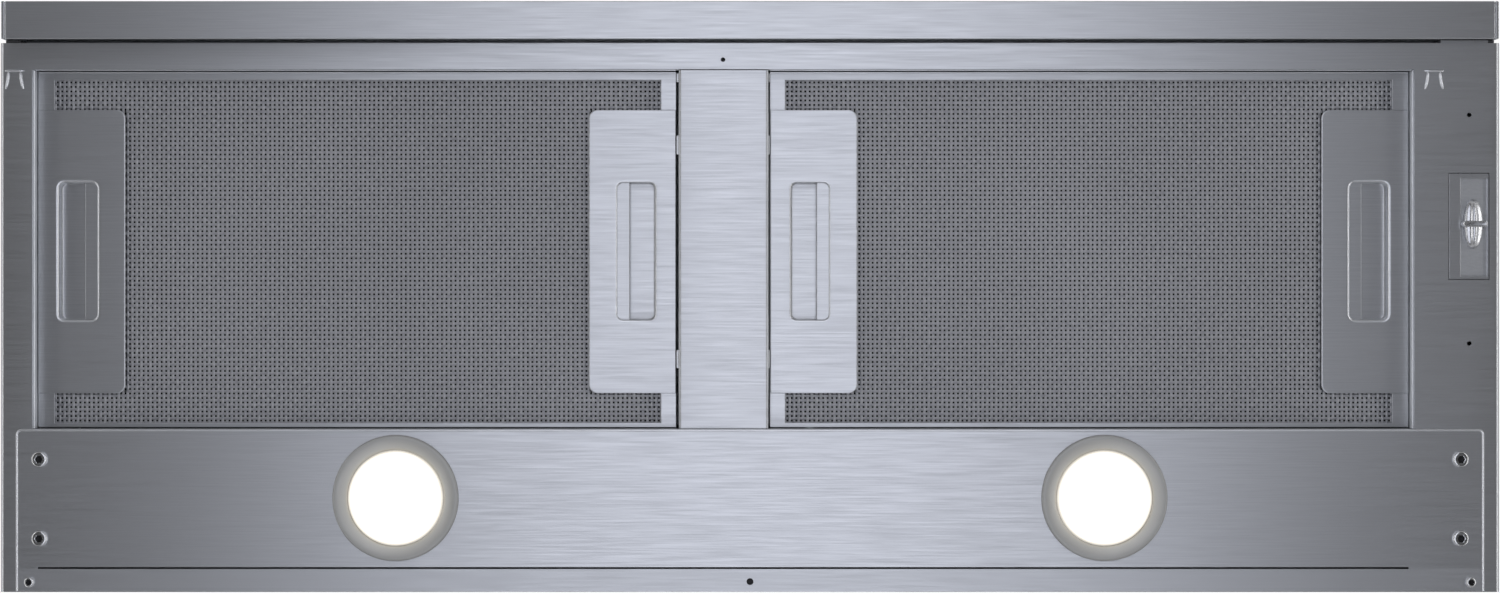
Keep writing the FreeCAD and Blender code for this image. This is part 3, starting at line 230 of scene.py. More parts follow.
def wire(name, dark, light):
    """Drawn wire of the filter cloth, slightly different from wire to wire."""
    g = Graph(name)
    each = g.noise((430.0, 430.0, 430.0), 2.0)
    drawn = g.noise((2500.0, 2500.0, 2500.0), 2.0)
    soil = g.noise((9.0, 9.0, 9.0), 3.0)
    return g.finish(
        Base_Color=g.blend(g.weigh(each, 0.7, soil, 0.3), dark, light), Metallic=1.0,
        Roughness=g.remap(drawn, 0.3, 0.7, 0.50, 0.66), Normal=g.bump(drawn, 0.006))


def plastic(name, dark, light):
    """Moulded plastic with spark-eroded grain and paler rubbed edges."""
    g = Graph(name)
    skin = g.noise((1800.0, 1800.0, 1800.0), 3.0)
    cloud = g.noise((45.0, 45.0, 45.0), 3.0)
    rubbed = tuple(min(1.0, v * 2.2 + 0.03) for v in light)
    worn = g.mix(g.math("MULTIPLY", g.edges(0.5), 0.35), g.blend(cloud, dark, light), rubbed)
    return g.finish(Base_Color=worn, Roughness=g.remap(skin, 0.3, 0.7, 0.38, 0.52), Normal=g.bump(skin, 0.02))


def painted(name, dark, light, roughness=(0.32, 0.46), metallic=0.0):
    """Sprayed enamel with a slight orange peel."""
    g = Graph(name)
    peel = g.noise((520.0, 520.0, 520.0), 2.0)
    cloud = g.noise((70.0, 70.0, 70.0), 4.0)
    rubbed = tuple(min(1.0, v * 1.5 + 0.08) for v in light)
    worn = g.mix(g.math("MULTIPLY", g.edges(0.5), 0.5), g.blend(cloud, dark, light), rubbed)
    return g.finish(
        Base_Color=worn, Metallic=metallic, Roughness=g.remap(cloud, 0.3, 0.7, *roughness),
        Normal=g.bump(peel, 0.02))


def circuit():
    """Green lacquer over faint copper tracks."""
    g = Graph("circuit_board")
    tracks = g.cells((160.0, 160.0, 160.0), "F2")["Distance"]
    weave = g.noise((1400.0, 1400.0, 1400.0), 2.0)
    on_track = g.remap(tracks, 0.55, 0.62, 0.0, 1.0)
    base = g.mix(on_track, (0.035, 0.17, 0.075), (0.07, 0.27, 0.12))
    return g.finish(
        Base_Color=base, Roughness=g.remap(weave, 0.3, 0.7, 0.24, 0.36), Normal=g.bump(tracks, 0.03))


def smoke_glass():
    """Grey glass with faint smears and dust."""
    g = Graph("smoke_glass")
    smear = g.noise((18.0, 18.0, 18.0), 4.0)
    dust = g.noise((700.0, 700.0, 700.0), 3.0)
    base = g.mix(smear, (0.34, 0.38, 0.40), (0.42, 0.46, 0.48))
    return g.finish(
        Base_Color=base, Roughness=g.remap(smear, 0.3, 0.7, 0.02, 0.07), Transmission_Weight=0.9, IOR=1.5,
        Normal=g.bump(dust, 0.0006))


def lens(name, centre):
    """Lit opal lens: evenly bright, warmer and dimmer toward its rim."""
    g = Graph(name)
    off = g.distance(centre)
    prism = g.noise((1600.0, 1600.0, 1600.0), 2.0)
    lit, rim = 21.6 * MM, 24.3 * MM
    glow = g.mix(g.remap(off, lit, rim, 0.0, 1.0), (1.0, 0.985, 0.95), (1.0, 0.90, 0.72))
    return g.finish(
        Base_Color=(0.30, 0.295, 0.28), Roughness=g.remap(prism, 0.3, 0.7, 0.22, 0.34), Emission_Color=glow,
        Emission_Strength=g.remap(off, lit, rim, 1.5, 0.24), Normal=g.bump(prism, 0.01))


def ring_enamel_with_painted_glow(name, centre):
    """Lamp ring enamel with a painted glow from the lens: paler and warmer toward its inner edge, fading to
    the enamel's own grey by its outer edge.
    """
    g = Graph(name)
    off = g.distance(centre)
    cloud = g.noise((90.0, 90.0, 90.0), 4.0)
    peel = g.noise((620.0, 620.0, 620.0), 2.0)
    inner, middle, outer = 24.4 * MM, 26.0 * MM, 30.0 * MM
    # Painted light: the lens's glow painted onto the enamel, strongest next to the lens and gone by the outer
    # radius.
    lit = g.mix(g.remap(off, inner, middle, 0.0, 1.0), (0.46, 0.43, 0.37), (0.37, 0.362, 0.34))
    lit = g.mix(g.remap(off, middle, outer, 0.0, 1.0), lit, (0.235, 0.235, 0.23))
    worn = g.mix(g.math("MULTIPLY", g.edges(0.6), 0.6), lit, (0.52, 0.52, 0.51))
    return g.finish(
        Base_Color=worn, Metallic=0.25, Roughness=g.remap(cloud, 0.3, 0.7, 0.34, 0.48),
        Normal=g.bump(peel, 0.02))


STEEL_DARK, STEEL_LIGHT = (0.600, 0.610, 0.630), (0.665, 0.675, 0.695)
WIRE_DARK, WIRE_LIGHT = (0.33, 0.335, 0.35), (0.46, 0.465, 0.485)
STEEL = brushed("brushed_steel", STEEL_DARK, STEEL_LIGHT)
LAMP_STEEL = brushed("lamp_panel_steel", STEEL_DARK, STEEL_LIGHT, dull_from=137.5)
# A paler copy of the steel for beads, hems, frame rolls, spring tabs and pocket lips: its lighter colour is a
# painted highlight along those edges.
EDGE_STEEL_PAINTED_HIGHLIGHT = brushed("edge_steel_painted_highlight", (0.70, 0.71, 0.73), (0.82, 0.83, 0.85), (0.34, 0.42), 0.0)
CHANNEL_STEEL = brushed(
    "control_plate_steel", (0.52, 0.53, 0.545), (0.62, 0.63, 0.645), (0.46, 0.56), 0.5,
    streak=(160.0, 500.0, 500.0))
ZINC_SHEET = galvanised()
ZINC = plated("zinc_plate", (0.50, 0.51, 0.52), (0.64, 0.645, 0.65))
SCREW = plated("screw_plate", (0.62, 0.625, 0.63), (0.78, 0.785, 0.79), (0.16, 0.26))
# Near-black painted shade, used in the screw sockets and in the lamp panel's slit and rear hole.
SOCKET_SHADE = plated("screw_socket", (0.022, 0.022, 0.023), (0.05, 0.05, 0.052), (0.5, 0.65))
CHROME = chrome()
ALUMINIUM = aluminium()
WARP = wire("warp_wire", WIRE_DARK, WIRE_LIGHT)
WEFT = wire("weft_wire", WIRE_DARK, WIRE_LIGHT)
# Near-black pad: its colour is painted shade seen through the cloth's holes.
PAD_PAINTED_SHADE = wire("filter_pad", (0.010, 0.010, 0.011), (0.026, 0.026, 0.028))
BLACK = plastic("black_plastic", (0.022, 0.022, 0.024), (0.040, 0.040, 0.043))
GREY = plastic("grey_plastic", (0.36, 0.37, 0.38), (0.45, 0.46, 0.47))
RAIL = painted("filter_rail", (0.50, 0.52, 0.55), (0.60, 0.62, 0.65), (0.48, 0.58), metallic=0.35)
MOTOR = painted("motor_enamel", (0.055, 0.058, 0.062), (0.085, 0.09, 0.095))
BOARD = circuit()
GLASS = smoke_glass()

# ---------------------------------------------------------------------------------------------
# Finishing the CAD nodes
# ---------------------------------------------------------------------------------------------


WELD_MM = 0.005
FLAT_DEGREES, BEND_DEGREES = 0.4, 35.0


def finish_node(name, material, edge=0.0):
    """Gives a CAD node its material and, with edge in mm, rounded bends and de-burred edges."""
    node = cad[name]
    node.data.materials.clear()
    node.data.materials.append(material)
    if not edge:
        return
    if "custom_normal" in node.data.attributes:
        node.data.attributes.remove(node.data.attributes["custom_normal"])
    node.data.shade_smooth()
    weld = node.modifiers.new("weld", "WELD")
    weld.merge_threshold = WELD_MM * MM
    flat = node.modifiers.new("flat", "DECIMATE")
    flat.decimate_type = "DISSOLVE"
    flat.angle_limit = math.radians(FLAT_DEGREES)
    bevel = node.modifiers.new("edge", "BEVEL")
    bevel.width = edge * MM
    bevel.segments = 2
    bevel.limit_method = "ANGLE"
    bevel.angle_limit = math.radians(BEND_DEGREES)
    bevel.harden_normals = True


EDGED = [
    (STEEL, 0.35, "lower_pan centre_divider"),
    (LAMP_STEEL, 0.38, "lamp_panel"),
    (STEEL, 0.9, "front_bar left_end_cap right_end_cap"),
    (RAIL, 0.45, "left_filter_rail right_filter_rail"),
    (STEEL, 0.2, "left_filter_frame right_filter_frame"),
    (STEEL, 0.42, "left_outer_latch left_inner_latch right_inner_latch right_outer_latch"),
    (STEEL, 0.3, "switch_plate"),
    (CHANNEL_STEEL, 0.3, "switch_channel"),
    (ZINC, 0.4, "carriage_frame left_inner_runner right_inner_runner left_outer_runner right_outer_runner"),
    (ZINC, 0.15, "lamp_spring_clips"),
    (ZINC_SHEET, 0.45, "top_plate fan_housing motor_bracket"),
    (GLASS, 0.8, "glass_screen"),
    (BLACK, 0.5, "slide_switch_body microswitch_body electronics_box electronics_lid"),
]
PLAIN = [
    (ZINC_SHEET, "housing_cover blower_wrap left_blower_side right_blower_side duct_collar"),
    (ZINC, "housing_rivets motor_shaft"),
    (ALUMINIUM, "left_lamp_body right_lamp_body run_capacitor front_damper_flap rear_damper_flap"),
    (BLACK, "cable_gland impeller"),
    (GREY, "microswitch_plunger"),
    (MOTOR, "motor_body"),
    (BOARD, "circuit_board"),
]
for material, edge, names in EDGED:
    for name in names.split():
        finish_node(name, material, edge)
for material, names in PLAIN:
    for name in names.split():
        finish_node(name, material)

# ---------------------------------------------------------------------------------------------
# Building new pieces
# ---------------------------------------------------------------------------------------------


def piece(name, verts, faces, material, body, replaces=(), sharp=38.0, second=None, second_faces=()):
    """A mesh piece from vertices in mm in the shared frame, its second_faces in a second material."""
    mesh = bpy.data.meshes.new(name)
    mesh.from_pydata([(x * MM, y * MM, z * MM) for x, y, z in verts], [], faces)
    mesh.validate()
    mesh.shade_smooth()
    mesh.set_sharp_from_angle(angle=math.radians(sharp))
    mesh.materials.append(material)
    if second:
        mesh.materials.append(second)
        for k in second_faces:
            mesh.polygons[k].material_index = 1
    made = bpy.data.objects.new(name, mesh)
    bpy.context.scene.collection.objects.link(made)
    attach(made, body)
    if replaces:
        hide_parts(*replaces)
    return made


class Skin:
    """Vertices and faces of one mesh, gathered loop by loop."""

    def __init__(self):
        self.verts = []
        self.faces = []

    def loop(self, points):
        start = len(self.verts)
        self.verts.extend(points)
        return list(range(start, len(self.verts)))

    def bridge(self, a, b, skip=()):
        """Faces between two loops of one length, except at the skipped places."""
        for i in range(len(a)):
            if i not in skip:
                j = (i + 1) % len(a)
                self.faces.append((a[i], a[j], b[j], b[i]))

    def cap(self, ring):
        self.faces.append(tuple(ring))

    def loft(self, rings):
        """A closed tube through the rings."""
        made = [self.loop(r) for r in rings]
        for a, b in zip(made, made[1:]):
            self.bridge(a, b)
        self.cap(reversed(made[0]))
        self.cap(made[-1])

    def turned(self):
        """The faces, each looking the other way."""
        return [tuple(reversed(f)) for f in self.faces]


def lathe(skin, points, x, y, z, steps, lobes=None):
    """Turns (radius, height) points about a vertical axis; a zero radius closes the shape. lobes gives a
    per-point depth of six-fold waves, as a fraction of the radius."""
    rings = []
    for i, (radius, height) in enumerate(points):
        if radius == 0:
            rings.append([len(skin.verts)])
            skin.verts.append((x, y, z + height))
            continue
        wave = lobes[i] if lobes else 0.0
        ring = []
        for k in range(steps):
            a = 2 * math.pi * k / steps
            r = radius * (1 + wave * math.cos(6 * a))
            ring.append((x + r * math.cos(a), y + r * math.sin(a), z + height))
        rings.append(skin.loop(ring))
    for a, b in zip(rings, rings[1:]):
        if len(a) == 1 or len(b) == 1:
            tip, ring = (a[0], b) if len(a) == 1 else (b[0], a)
            for k in range(steps):
                pair = (ring[k], ring[(k + 1) % steps])
                skin.faces.append((tip, *pair) if len(b) == 1 else (tip, *reversed(pair)))
        else:
            skin.bridge(a, b)


def box_mm(node):
    """The low and high corner of a CAD node, in mm."""
    low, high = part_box(node)
    return [v / MM for v in low], [v / MM for v in high]


def arc(centre_u, centre_v, radius, start, end, steps):
    """Points of an arc in degrees, in any plane."""
    found = []
    for k in range(steps + 1):
        a = math.radians(start + (end - start) * k / steps)
        found.append((centre_u + radius * math.cos(a), centre_v + radius * math.sin(a)))
    return found


# ---------------------------------------------------------------------------------------------
# Woven filter cloth: two families of drawn wire over a pleated pad whose near-black colour is painted shade
# ---------------------------------------------------------------------------------------------

PITCH = 2.303
WIRE_WIDE, WIRE_HIGH, WIRE_WAVE, WIRE_Z = 0.71, 0.34, 0.22, 16.60
WIRE_RING = [(math.cos(math.radians(a)), math.sin(math.radians(a))) for a in range(0, 360, 60)]
WIRE_TAIL, UNDER_PLATE = 1.1, 1.2
# How far the cloth's visible edge lies inside the filter frame's
EDGE_OUTER, EDGE_INNER, EDGE_FRONT, EDGE_REAR = 8.4, 7.7, 4.2, 2.2
PLEAT, PLEAT_LOW, PLEAT_HIGH, PAD_TOP, PAD_GAP = 3.2, 18.1, 19.3, 22.4, 0.8
CUP_ROOM_FRONT, CUP_ROOM_REAR = -62.0, 15.5


def spaced(start, end, pitch):
    """Positions from start to end, as near to the pitch as a whole number of steps comes."""
    count = round((end - start) / pitch)
    return [start + (end - start) * k / count for k in range(count + 1)]


def runs(points, gaps):
    """Splits a list of positions into the stretches outside the gaps."""
    found, run = [], []
    for p in points:
        if any(a < p < b for a, b in gaps):
            if len(run) > 1:
                found.append(run)
            run = []
        else:
            run.append(p)
    if len(run) > 1:
        found.append(run)
    return found


def wire_rings(family, at, run, phase):
    """One wire along the run, passing over and under the other family's wires."""
    rings = []
    for k, p in [(-1, run[0] - WIRE_TAIL), *enumerate(run), (len(run), run[-1] + WIRE_TAIL)]:
        up = 1 if (phase + k) % 2 else -1
        if family == "warp":
            z = WIRE_Z + WIRE_WAVE * up
            rings.append([(at + WIRE_WIDE * c, p, z + WIRE_HIGH * s) for c, s in WIRE_RING])
        else:
            z = WIRE_Z - WIRE_WAVE * up
            rings.append([(p, at - WIRE_WIDE * c, z + WIRE_HIGH * s) for c, s in WIRE_RING])
    return rings


def weave(side):
    """The cloth of one filter, cut away where the handle plates cover it."""
    frame_low, frame_high = box_mm(f"{side}_filter_frame")
    plates = [box_mm(f"{side}_{end}_handle") for end in ("outer", "inner")]
    edges = (EDGE_OUTER, EDGE_INNER) if side == "left" else (EDGE_INNER, EDGE_OUTER)
    left, right = frame_low[0] + edges[0], frame_high[0] - edges[1]
    front, rear = frame_low[1] + EDGE_FRONT, frame_high[1] - EDGE_REAR
    xs, ys = spaced(left, right, PITCH), spaced(front, rear, PITCH)
    for family, material, along, across, a, b in (("warp", WARP, ys, xs, 0, 1), ("weft", WEFT, xs, ys, 1, 0)):
        skin = Skin()
        for i, at in enumerate(across):
            gaps = [
                (low[b] + UNDER_PLATE, high[b] - UNDER_PLATE) for low, high in plates
                if low[a] + UNDER_PLATE / 2 < at < high[a] - UNDER_PLATE / 2]
            for run in runs(along, gaps):
                skin.loft(wire_rings(family, at, run, i + along.index(run[0])))
        replaced = (f"{side}_filter_cloth",) if family == "warp" else ()
        piece(f"{side}_filter_{family}", skin.verts, skin.faces, material, f"{side}_filter",
              replaced, 70.0)
    pad(side, left - 1, right + 1, front - 1, rear + 1, plates)


def pad(side, left, right, front, rear, plates):
    """The catching pad behind the cloth, pleated along X, with room for the pocket cups; its near-black
    colour paints the shade seen through the cloth's holes.
    """
    skin = Skin()
    clear_left = min(high[0] for _, high in plates) + PAD_GAP
    clear_right = max(low[0] for low, _ in plates) - PAD_GAP
    folds = [(y, PLEAT_LOW if k % 2 else PLEAT_HIGH) for k, y in enumerate(spaced(front, rear, PLEAT))]
    for (y0, z0), (y1, z1) in zip(folds, folds[1:]):
        beside_cup = y1 > CUP_ROOM_FRONT and y0 < CUP_ROOM_REAR
        a, b = (clear_left, clear_right) if beside_cup else (left, right)
        under = [(a, y0, z0), (b, y0, z0), (b, y1, z1), (a, y1, z1)]
        skin.loft([under, [(x, y, PAD_TOP) for x, y, _ in under]])
    piece(f"{side}_filter_pad", skin.verts, skin.faces, PAD_PAINTED_SHADE, f"{side}_filter", sharp=20.0)


weave("left")
weave("right")

# ---------------------------------------------------------------------------------------------
# Handle plates, each drawn from one sheet with its finger pocket
# ---------------------------------------------------------------------------------------------

# Heights are on Z; the pocket's ends are measured from the plate's own outer edge
CORNER_STEPS = 8
PLATE_Z, PLATE_TOP, PLATE_CORNER, PLATE_EDGE = 14.4, 15.0, 4.4, 0.45
POCKET_NEAR, POCKET_FAR, POCKET_FRONT, POCKET_REAR, POCKET_CORNER = 10.2, 30.6, -58.8, 12.1, 3.5
POCKET_SPLIT = 23.45
LIP_OVERHANG, LIP_RADIUS = 0.55, {"outer": 1.35, "inner": 0.95}
FLAT_INSET, FLAT_GROW = 0.8, 1.5
SLOT_LOW, SLOT_HIGH, CUP_SIDE, CUP_BEND, CUP_FLOOR = 15.87, 17.30, 20.1, 20.3, 20.95
CUP_INSET_LOW, CUP_INSET_HIGH, CUP_FILLET, CUP_FLOOR_INSET = 0.57, 0.65, 0.65, 1.8
DRAWN_SHEET = 0.45


def split_loop(u0, u1, y0, y1, radii, z):
    """Rounded rectangle in (u, y) from the corner (u0, y0), with a vertex at POCKET_SPLIT on both ends."""
    corners = [(u0, y0, 180), (u1, y0, 270), (u1, y1, 0), (u0, y1, 90)]
    points = []
    for i, ((u, y, start), radius) in enumerate(zip(corners, radii)):
        cu = u + radius if i in (0, 3) else u - radius
        cy = y + radius if i in (0, 1) else y - radius
        points.extend(arc(cu, cy, radius, start, start + 90, CORNER_STEPS))
        if i in (0, 2):
            points.append((POCKET_SPLIT, y))
    return [(u, y, z) for u, y in points]


def handle(side, end):
    """Plate, lip, pocket wall and pocket floor, with the wall open where the latch comes through."""
    low, high = box_mm(f"{side}_{end}_handle")
    inward = 1 if (side, end) in (("left", "outer"), ("right", "inner")) else -1
    edge = low[0] if inward > 0 else high[0]
    wide = high[0] - low[0]
    levels = []

    def outline(inset, z):
        sharp, wider = max(0.1, 0.3 - inset), PLATE_CORNER - inset
        levels.append(split_loop(
            inset, wide - inset, low[1] + inset, high[1] - inset, (sharp, wider, wider, sharp), z))

    def rim(grow, z):
        levels.append(split_loop(
            POCKET_NEAR - grow, POCKET_FAR + grow, POCKET_FRONT - grow, POCKET_REAR + grow,
            [POCKET_CORNER + grow] * 4, z))

    outline(0.0, PLATE_TOP)
    for inset, z in arc(PLATE_EDGE, PLATE_Z + PLATE_EDGE, PLATE_EDGE, 180, 270, 3):
        outline(inset, z)
    outline(FLAT_INSET, PLATE_Z)
    rim(FLAT_GROW, PLATE_Z)
    lip_from = len(levels)
    lip = LIP_RADIUS[end]
    for grow, z in arc(lip - LIP_OVERHANG, PLATE_Z + lip, lip, 270, 180, 7):
        rim(grow, z)
    rim(-LIP_OVERHANG, SLOT_LOW)
    slot_from = len(levels) - 1
    rim(-CUP_INSET_LOW, SLOT_HIGH)
    rim(-CUP_INSET_HIGH, CUP_SIDE)
    for grow, z in arc(-CUP_INSET_HIGH - CUP_FILLET, CUP_BEND, CUP_FILLET, 0, 90, 5):
        rim(grow, z)
    rim(-CUP_FLOOR_INSET, CUP_FLOOR)
    skin = Skin()
    rings = [skin.loop([(edge + inward * u, y, z) for u, y, z in level]) for level in levels]
    slot = range(CORNER_STEPS + 1, 3 * (CORNER_STEPS + 1) + 1)
    lip_faces = []
    for k, (a, b) in enumerate(zip(rings, rings[1:])):
        start = len(skin.faces)
        skin.bridge(a, b, slot if k == slot_from else ())
        if lip_from <= k < slot_from:
            lip_faces.extend(range(start, len(skin.faces)))
    skin.cap(rings[-1])
    faces = skin.faces if inward < 0 else skin.turned()
    # The pocket lips take the paler edge steel, a painted highlight round each pocket.
    made = piece(f"{side}_{end}_handle_plate", skin.verts, faces, STEEL, f"{side}_filter",
                 (f"{side}_{end}_handle",), 50.0, EDGE_STEEL_PAINTED_HIGHLIGHT, lip_faces)
    thick = made.modifiers.new("sheet", "SOLIDIFY")
    thick.thickness = DRAWN_SHEET * MM
    thick.offset = -1.0


for side in ("left", "right"):
    for end in ("outer", "inner"):
        handle(side, end)

# ---------------------------------------------------------------------------------------------
# Lamps: radii and heights in mm from the lens to the rim
# ---------------------------------------------------------------------------------------------

BEZEL = [
    (24.45, 5.3), (24.45, 4.1), (24.6, 3.85), (25.0, 3.66), (28.6, 2.62), (29.3, 2.46), (30.2, 2.42),
    *arc(30.6, 3.8, 1.38, 270, 360, 8),
    (32.0, 4.2), (26.5, 4.2), (26.5, 14.0), (25.4, 14.0), (25.4, 5.3), (24.45, 5.3)]
DOME = [
    (0, 2.82), (6, 2.83), (12, 2.87), (17, 2.94), (20.5, 3.04), (22.3, 3.16), (23.3, 3.36), (23.9, 3.66),
    (24.2, 4.05), (24.25, 4.8), (0, 4.8)]
LENS_Z, LAMP_STEPS = 3.0, 128


def lamp(side):
    """Bezel ring and glowing lens."""
    low, high = box_mm(f"{side}_lamp_bezel")
    x, y = (low[0] + high[0]) / 2, (low[1] + high[1]) / 2
    centre = (x * MM, y * MM, LENS_Z * MM)
    skin = Skin()
    lathe(skin, BEZEL, x, y, 0, LAMP_STEPS)
    piece(f"{side}_lamp_ring", skin.verts, skin.faces, ring_enamel_with_painted_glow(f"lamp_ring_{side}", centre), "hood",
          (f"{side}_lamp_bezel",), 42.0)
    skin = Skin()
    lathe(skin, DOME, x, y, 0, LAMP_STEPS)
    piece(f"{side}_lamp_opal", skin.verts, skin.faces, lens(f"lens_{side}", centre), "hood",
          (f"{side}_lamp_lens",), 42.0)


lamp("left")
lamp("right")

# ---------------------------------------------------------------------------------------------
# Screws with six-lobe sockets
# ---------------------------------------------------------------------------------------------

SCREW_SEAT, SCREW_HEAD, SCREW_LENGTH, SCREW_LOBE, SCREW_STEPS = 4.2, 1.8, 9.0, 0.09, 48
SCREWS = [
    # name, places, and the radii of head, shank and socket
    ("panel", [(x, y) for x in (-359.8, 359.8) for y in (82.2, 122.3)], (4.0, 1.9, 1.75)),
    ("rear", [(x, 144.4) for x in (-365.0, 365.0)], (2.6, 1.4, 1.35)),
]


def screw(skin, x, y, head, shank, socket):
    """Pan head with a six-lobe socket; returns the socket's faces."""
    mouth = (socket, 0.2 - SCREW_HEAD)
    outside = [
        (shank, SCREW_LENGTH), (shank, 0.02), (head, 0.0), (head, -0.25),
        *arc(head - 1.0, -0.8, 1.0, 0, -75, 6),
        (head - 1.2, -SCREW_HEAD), (socket + 0.4, -SCREW_HEAD), (socket + 0.1, 0.05 - SCREW_HEAD), mouth]
    lobes = [0.0] * (len(outside) - 2) + [SCREW_LOBE] * 2
    lathe(skin, outside, x, y, SCREW_SEAT, SCREW_STEPS, lobes)
    start = len(skin.faces)
    inside = [mouth, (socket * 0.96, -0.5), (socket * 0.5, -0.25), (0, -0.2)]
    lathe(skin, inside, x, y, SCREW_SEAT, SCREW_STEPS, [SCREW_LOBE, SCREW_LOBE, 0.0, 0.0])
    return range(start, len(skin.faces))


for where, places, sizes in SCREWS:
    skin = Skin()
    sockets = []
    for x, y in places:
        sockets.extend(screw(skin, x, y, *sizes))
    # The sockets take the near-black painted shade.
    piece(f"{where}_screw_set", skin.verts, skin.faces, SCREW, "hood", (f"{where}_screws",), 32.0,
          SOCKET_SHADE, sockets)

# ---------------------------------------------------------------------------------------------
# Control knob: a fluted half ellipsoid with a rounded crossbar
# ---------------------------------------------------------------------------------------------

KNOB_X, KNOB_Y, KNOB_BASE = 366.6, -37.0, 6.4
KNOB_HALF, KNOB_SIDE, KNOB_DEEP = 12.35, 5.4, 5.0
FLUTES, FLUTE_DEPTH = 6.4, 0.13
LONG_STEPS, ROUND_STEPS = 40, 60
CROSSBAR_HALF, CROSSBAR_SIDE, CROSSBAR_CORNER = 6.4, 1.6, 1.5
CROSSBAR_LEVELS = [
    # growth of the outline, height
    (0, 6.4), (0, 1.5), (-0.04, 1.25), (-0.16, 1.03), (-0.32, 0.92), (-0.48, 0.92), (-0.62, 1.02),
    (-0.72, 1.2), (-0.8, 1.34), (-0.95, 1.38)]


def knob_pod():
    """The fluted half ellipsoid that a finger pushes."""
    skin = Skin()
    rings = []
    for i in range(1, LONG_STEPS):
        b = math.radians(-90 + 180 * i / LONG_STEPS)
        r = math.cos(b)
        ring = []
        for k in range(ROUND_STEPS + 1):
            a = math.radians(-90 + 180 * k / ROUND_STEPS)
            lobe = 1 - FLUTE_DEPTH * (0.5 - 0.5 * math.cos(a * FLUTES)) * min(1.0, r * 1.6)
            x = KNOB_X + KNOB_SIDE * r ** 0.85 * lobe * math.sin(a)
            y = KNOB_Y + KNOB_HALF * math.sin(b)
            ring.append((x, y, KNOB_BASE - KNOB_DEEP * r * lobe * math.cos(a)))
        rings.append(skin.loop(ring))
    for a, b in zip(rings, rings[1:]):
        skin.bridge(b, a)
    front, rear = skin.loop([(KNOB_X, KNOB_Y + sign * KNOB_HALF, KNOB_BASE) for sign in (-1, 1)])
    for k in range(ROUND_STEPS + 1):
        j = (k + 1) % (ROUND_STEPS + 1)
        skin.faces.append((front, rings[0][k], rings[0][j]))
        skin.faces.append((rear, rings[-1][j], rings[-1][k]))
    piece("knob_pod", skin.verts, skin.faces, CHROME, "knob", ("control_knob",), 60.0)


def crossbar_loop(grow, z):
    r = CROSSBAR_CORNER + grow
    cu, cv = CROSSBAR_HALF + grow - r, CROSSBAR_SIDE + grow - r
    points = []
    for u, v, start in ((-cu, -cv, 180), (cu, -cv, 270), (cu, cv, 0), (-cu, cv, 90)):
        points.extend(arc(u, v, r, start, start + 90, 8))
    return [(KNOB_X + u, KNOB_Y + v, z) for u, v in points]


def knob_crossbar():
    skin = Skin()
    skin.loft([crossbar_loop(grow, z) for grow, z in CROSSBAR_LEVELS])
    piece("knob_crossbar", skin.verts, skin.turned(), CHROME, "knob", sharp=60.0)


def knob_stem():
    """The stem from the pod up into the slide switch."""
    skin = Skin()
    outline = [(-1.5, -2), (1.5, -2), (1.5, 2), (-1.5, 2)]
    skin.loft([[(KNOB_X + u, KNOB_Y + v, z) for u, v in outline] for z in (6.0, 12.2, 12.5)])
    piece("knob_stem", skin.verts, skin.faces, CHROME, "knob")


knob_pod()
knob_crossbar()
knob_stem()

# ---------------------------------------------------------------------------------------------
# Lanced spring tabs near the pan's front corners
# ---------------------------------------------------------------------------------------------

BEAD_STEPS = 10
TAB_Y, TAB_Z, TAB_HALF, TAB_BAR, TAB_LEG, TAB_TAPER = -114.6, 4.95, 4.9, 0.72, 0.82, 0.65
LEG_ROOT_X, LEG_ROOT_Y, LEG_SPREAD, LEG_LENGTH = 3.1, 0.6, 1.5, 8.6


def bead(skin, path, radius, taper=0.0):
    """A round bead swept along (x, y, z) points, thinner at its ends by that taper."""
    rings = []
    last = len(path) - 1
    turns = [2 * math.pi * k / BEAD_STEPS for k in range(BEAD_STEPS)]
    for i, (x, y, z) in enumerate(path):
        a, b = path[max(0, i - 1)], path[min(last, i + 1)]
        length = math.hypot(b[0] - a[0], b[1] - a[1])
        nx, ny = -(b[1] - a[1]) / length, (b[0] - a[0]) / length
        r = radius * (1 - taper * abs(2 * i / last - 1) ** 4)
        rings.append([
            (x + nx * r * math.cos(t), y + ny * r * math.cos(t), z + r * math.sin(t)) for t in turns])
    skin.loft(rings)


def spring_tab(name, x):
    """A bar with two legs that spread rearward, pressed out of the sheet."""
    skin = Skin()
    bead(skin, [(x + TAB_HALF * k / 10, TAB_Y, TAB_Z) for k in range(-10, 11)], TAB_BAR, TAB_TAPER)
    for sign in (-1, 1):
        leg = []
        for k in range(13):
            t = k / 12
            leg_x = x + sign * (LEG_ROOT_X + LEG_SPREAD * t * t)
            leg.append((leg_x, TAB_Y + LEG_ROOT_Y + LEG_LENGTH * t, TAB_Z))
        bead(skin, leg, TAB_LEG, TAB_TAPER)
    piece(name, skin.verts, skin.faces, EDGE_STEEL_PAINTED_HIGHLIGHT, "hood", sharp=60.0)


spring_tab("left_spring_tab", -372.7)
spring_tab("right_spring_tab", 346.6)

# ---------------------------------------------------------------------------------------------
# Hems, rolls, beads, and painted shade in the slit and rear hole
# ---------------------------------------------------------------------------------------------

HEM_RADIUS, HEM_Z, HEM_TURN = 0.62, 4.38, 2.3
BUFFER_INNER, BUFFER_OUTER, BUFFER_LOW, BUFFER_HIGH = 370.6, 377.6, 7.0, 22.0
BUFFER_LEVELS = [(0.35, -130.4), (0.0, -130.1), (0.0, -129.1), (0.3, -128.85)]
ROLL_RADIUS, ROLL_Z = 0.42, 14.92
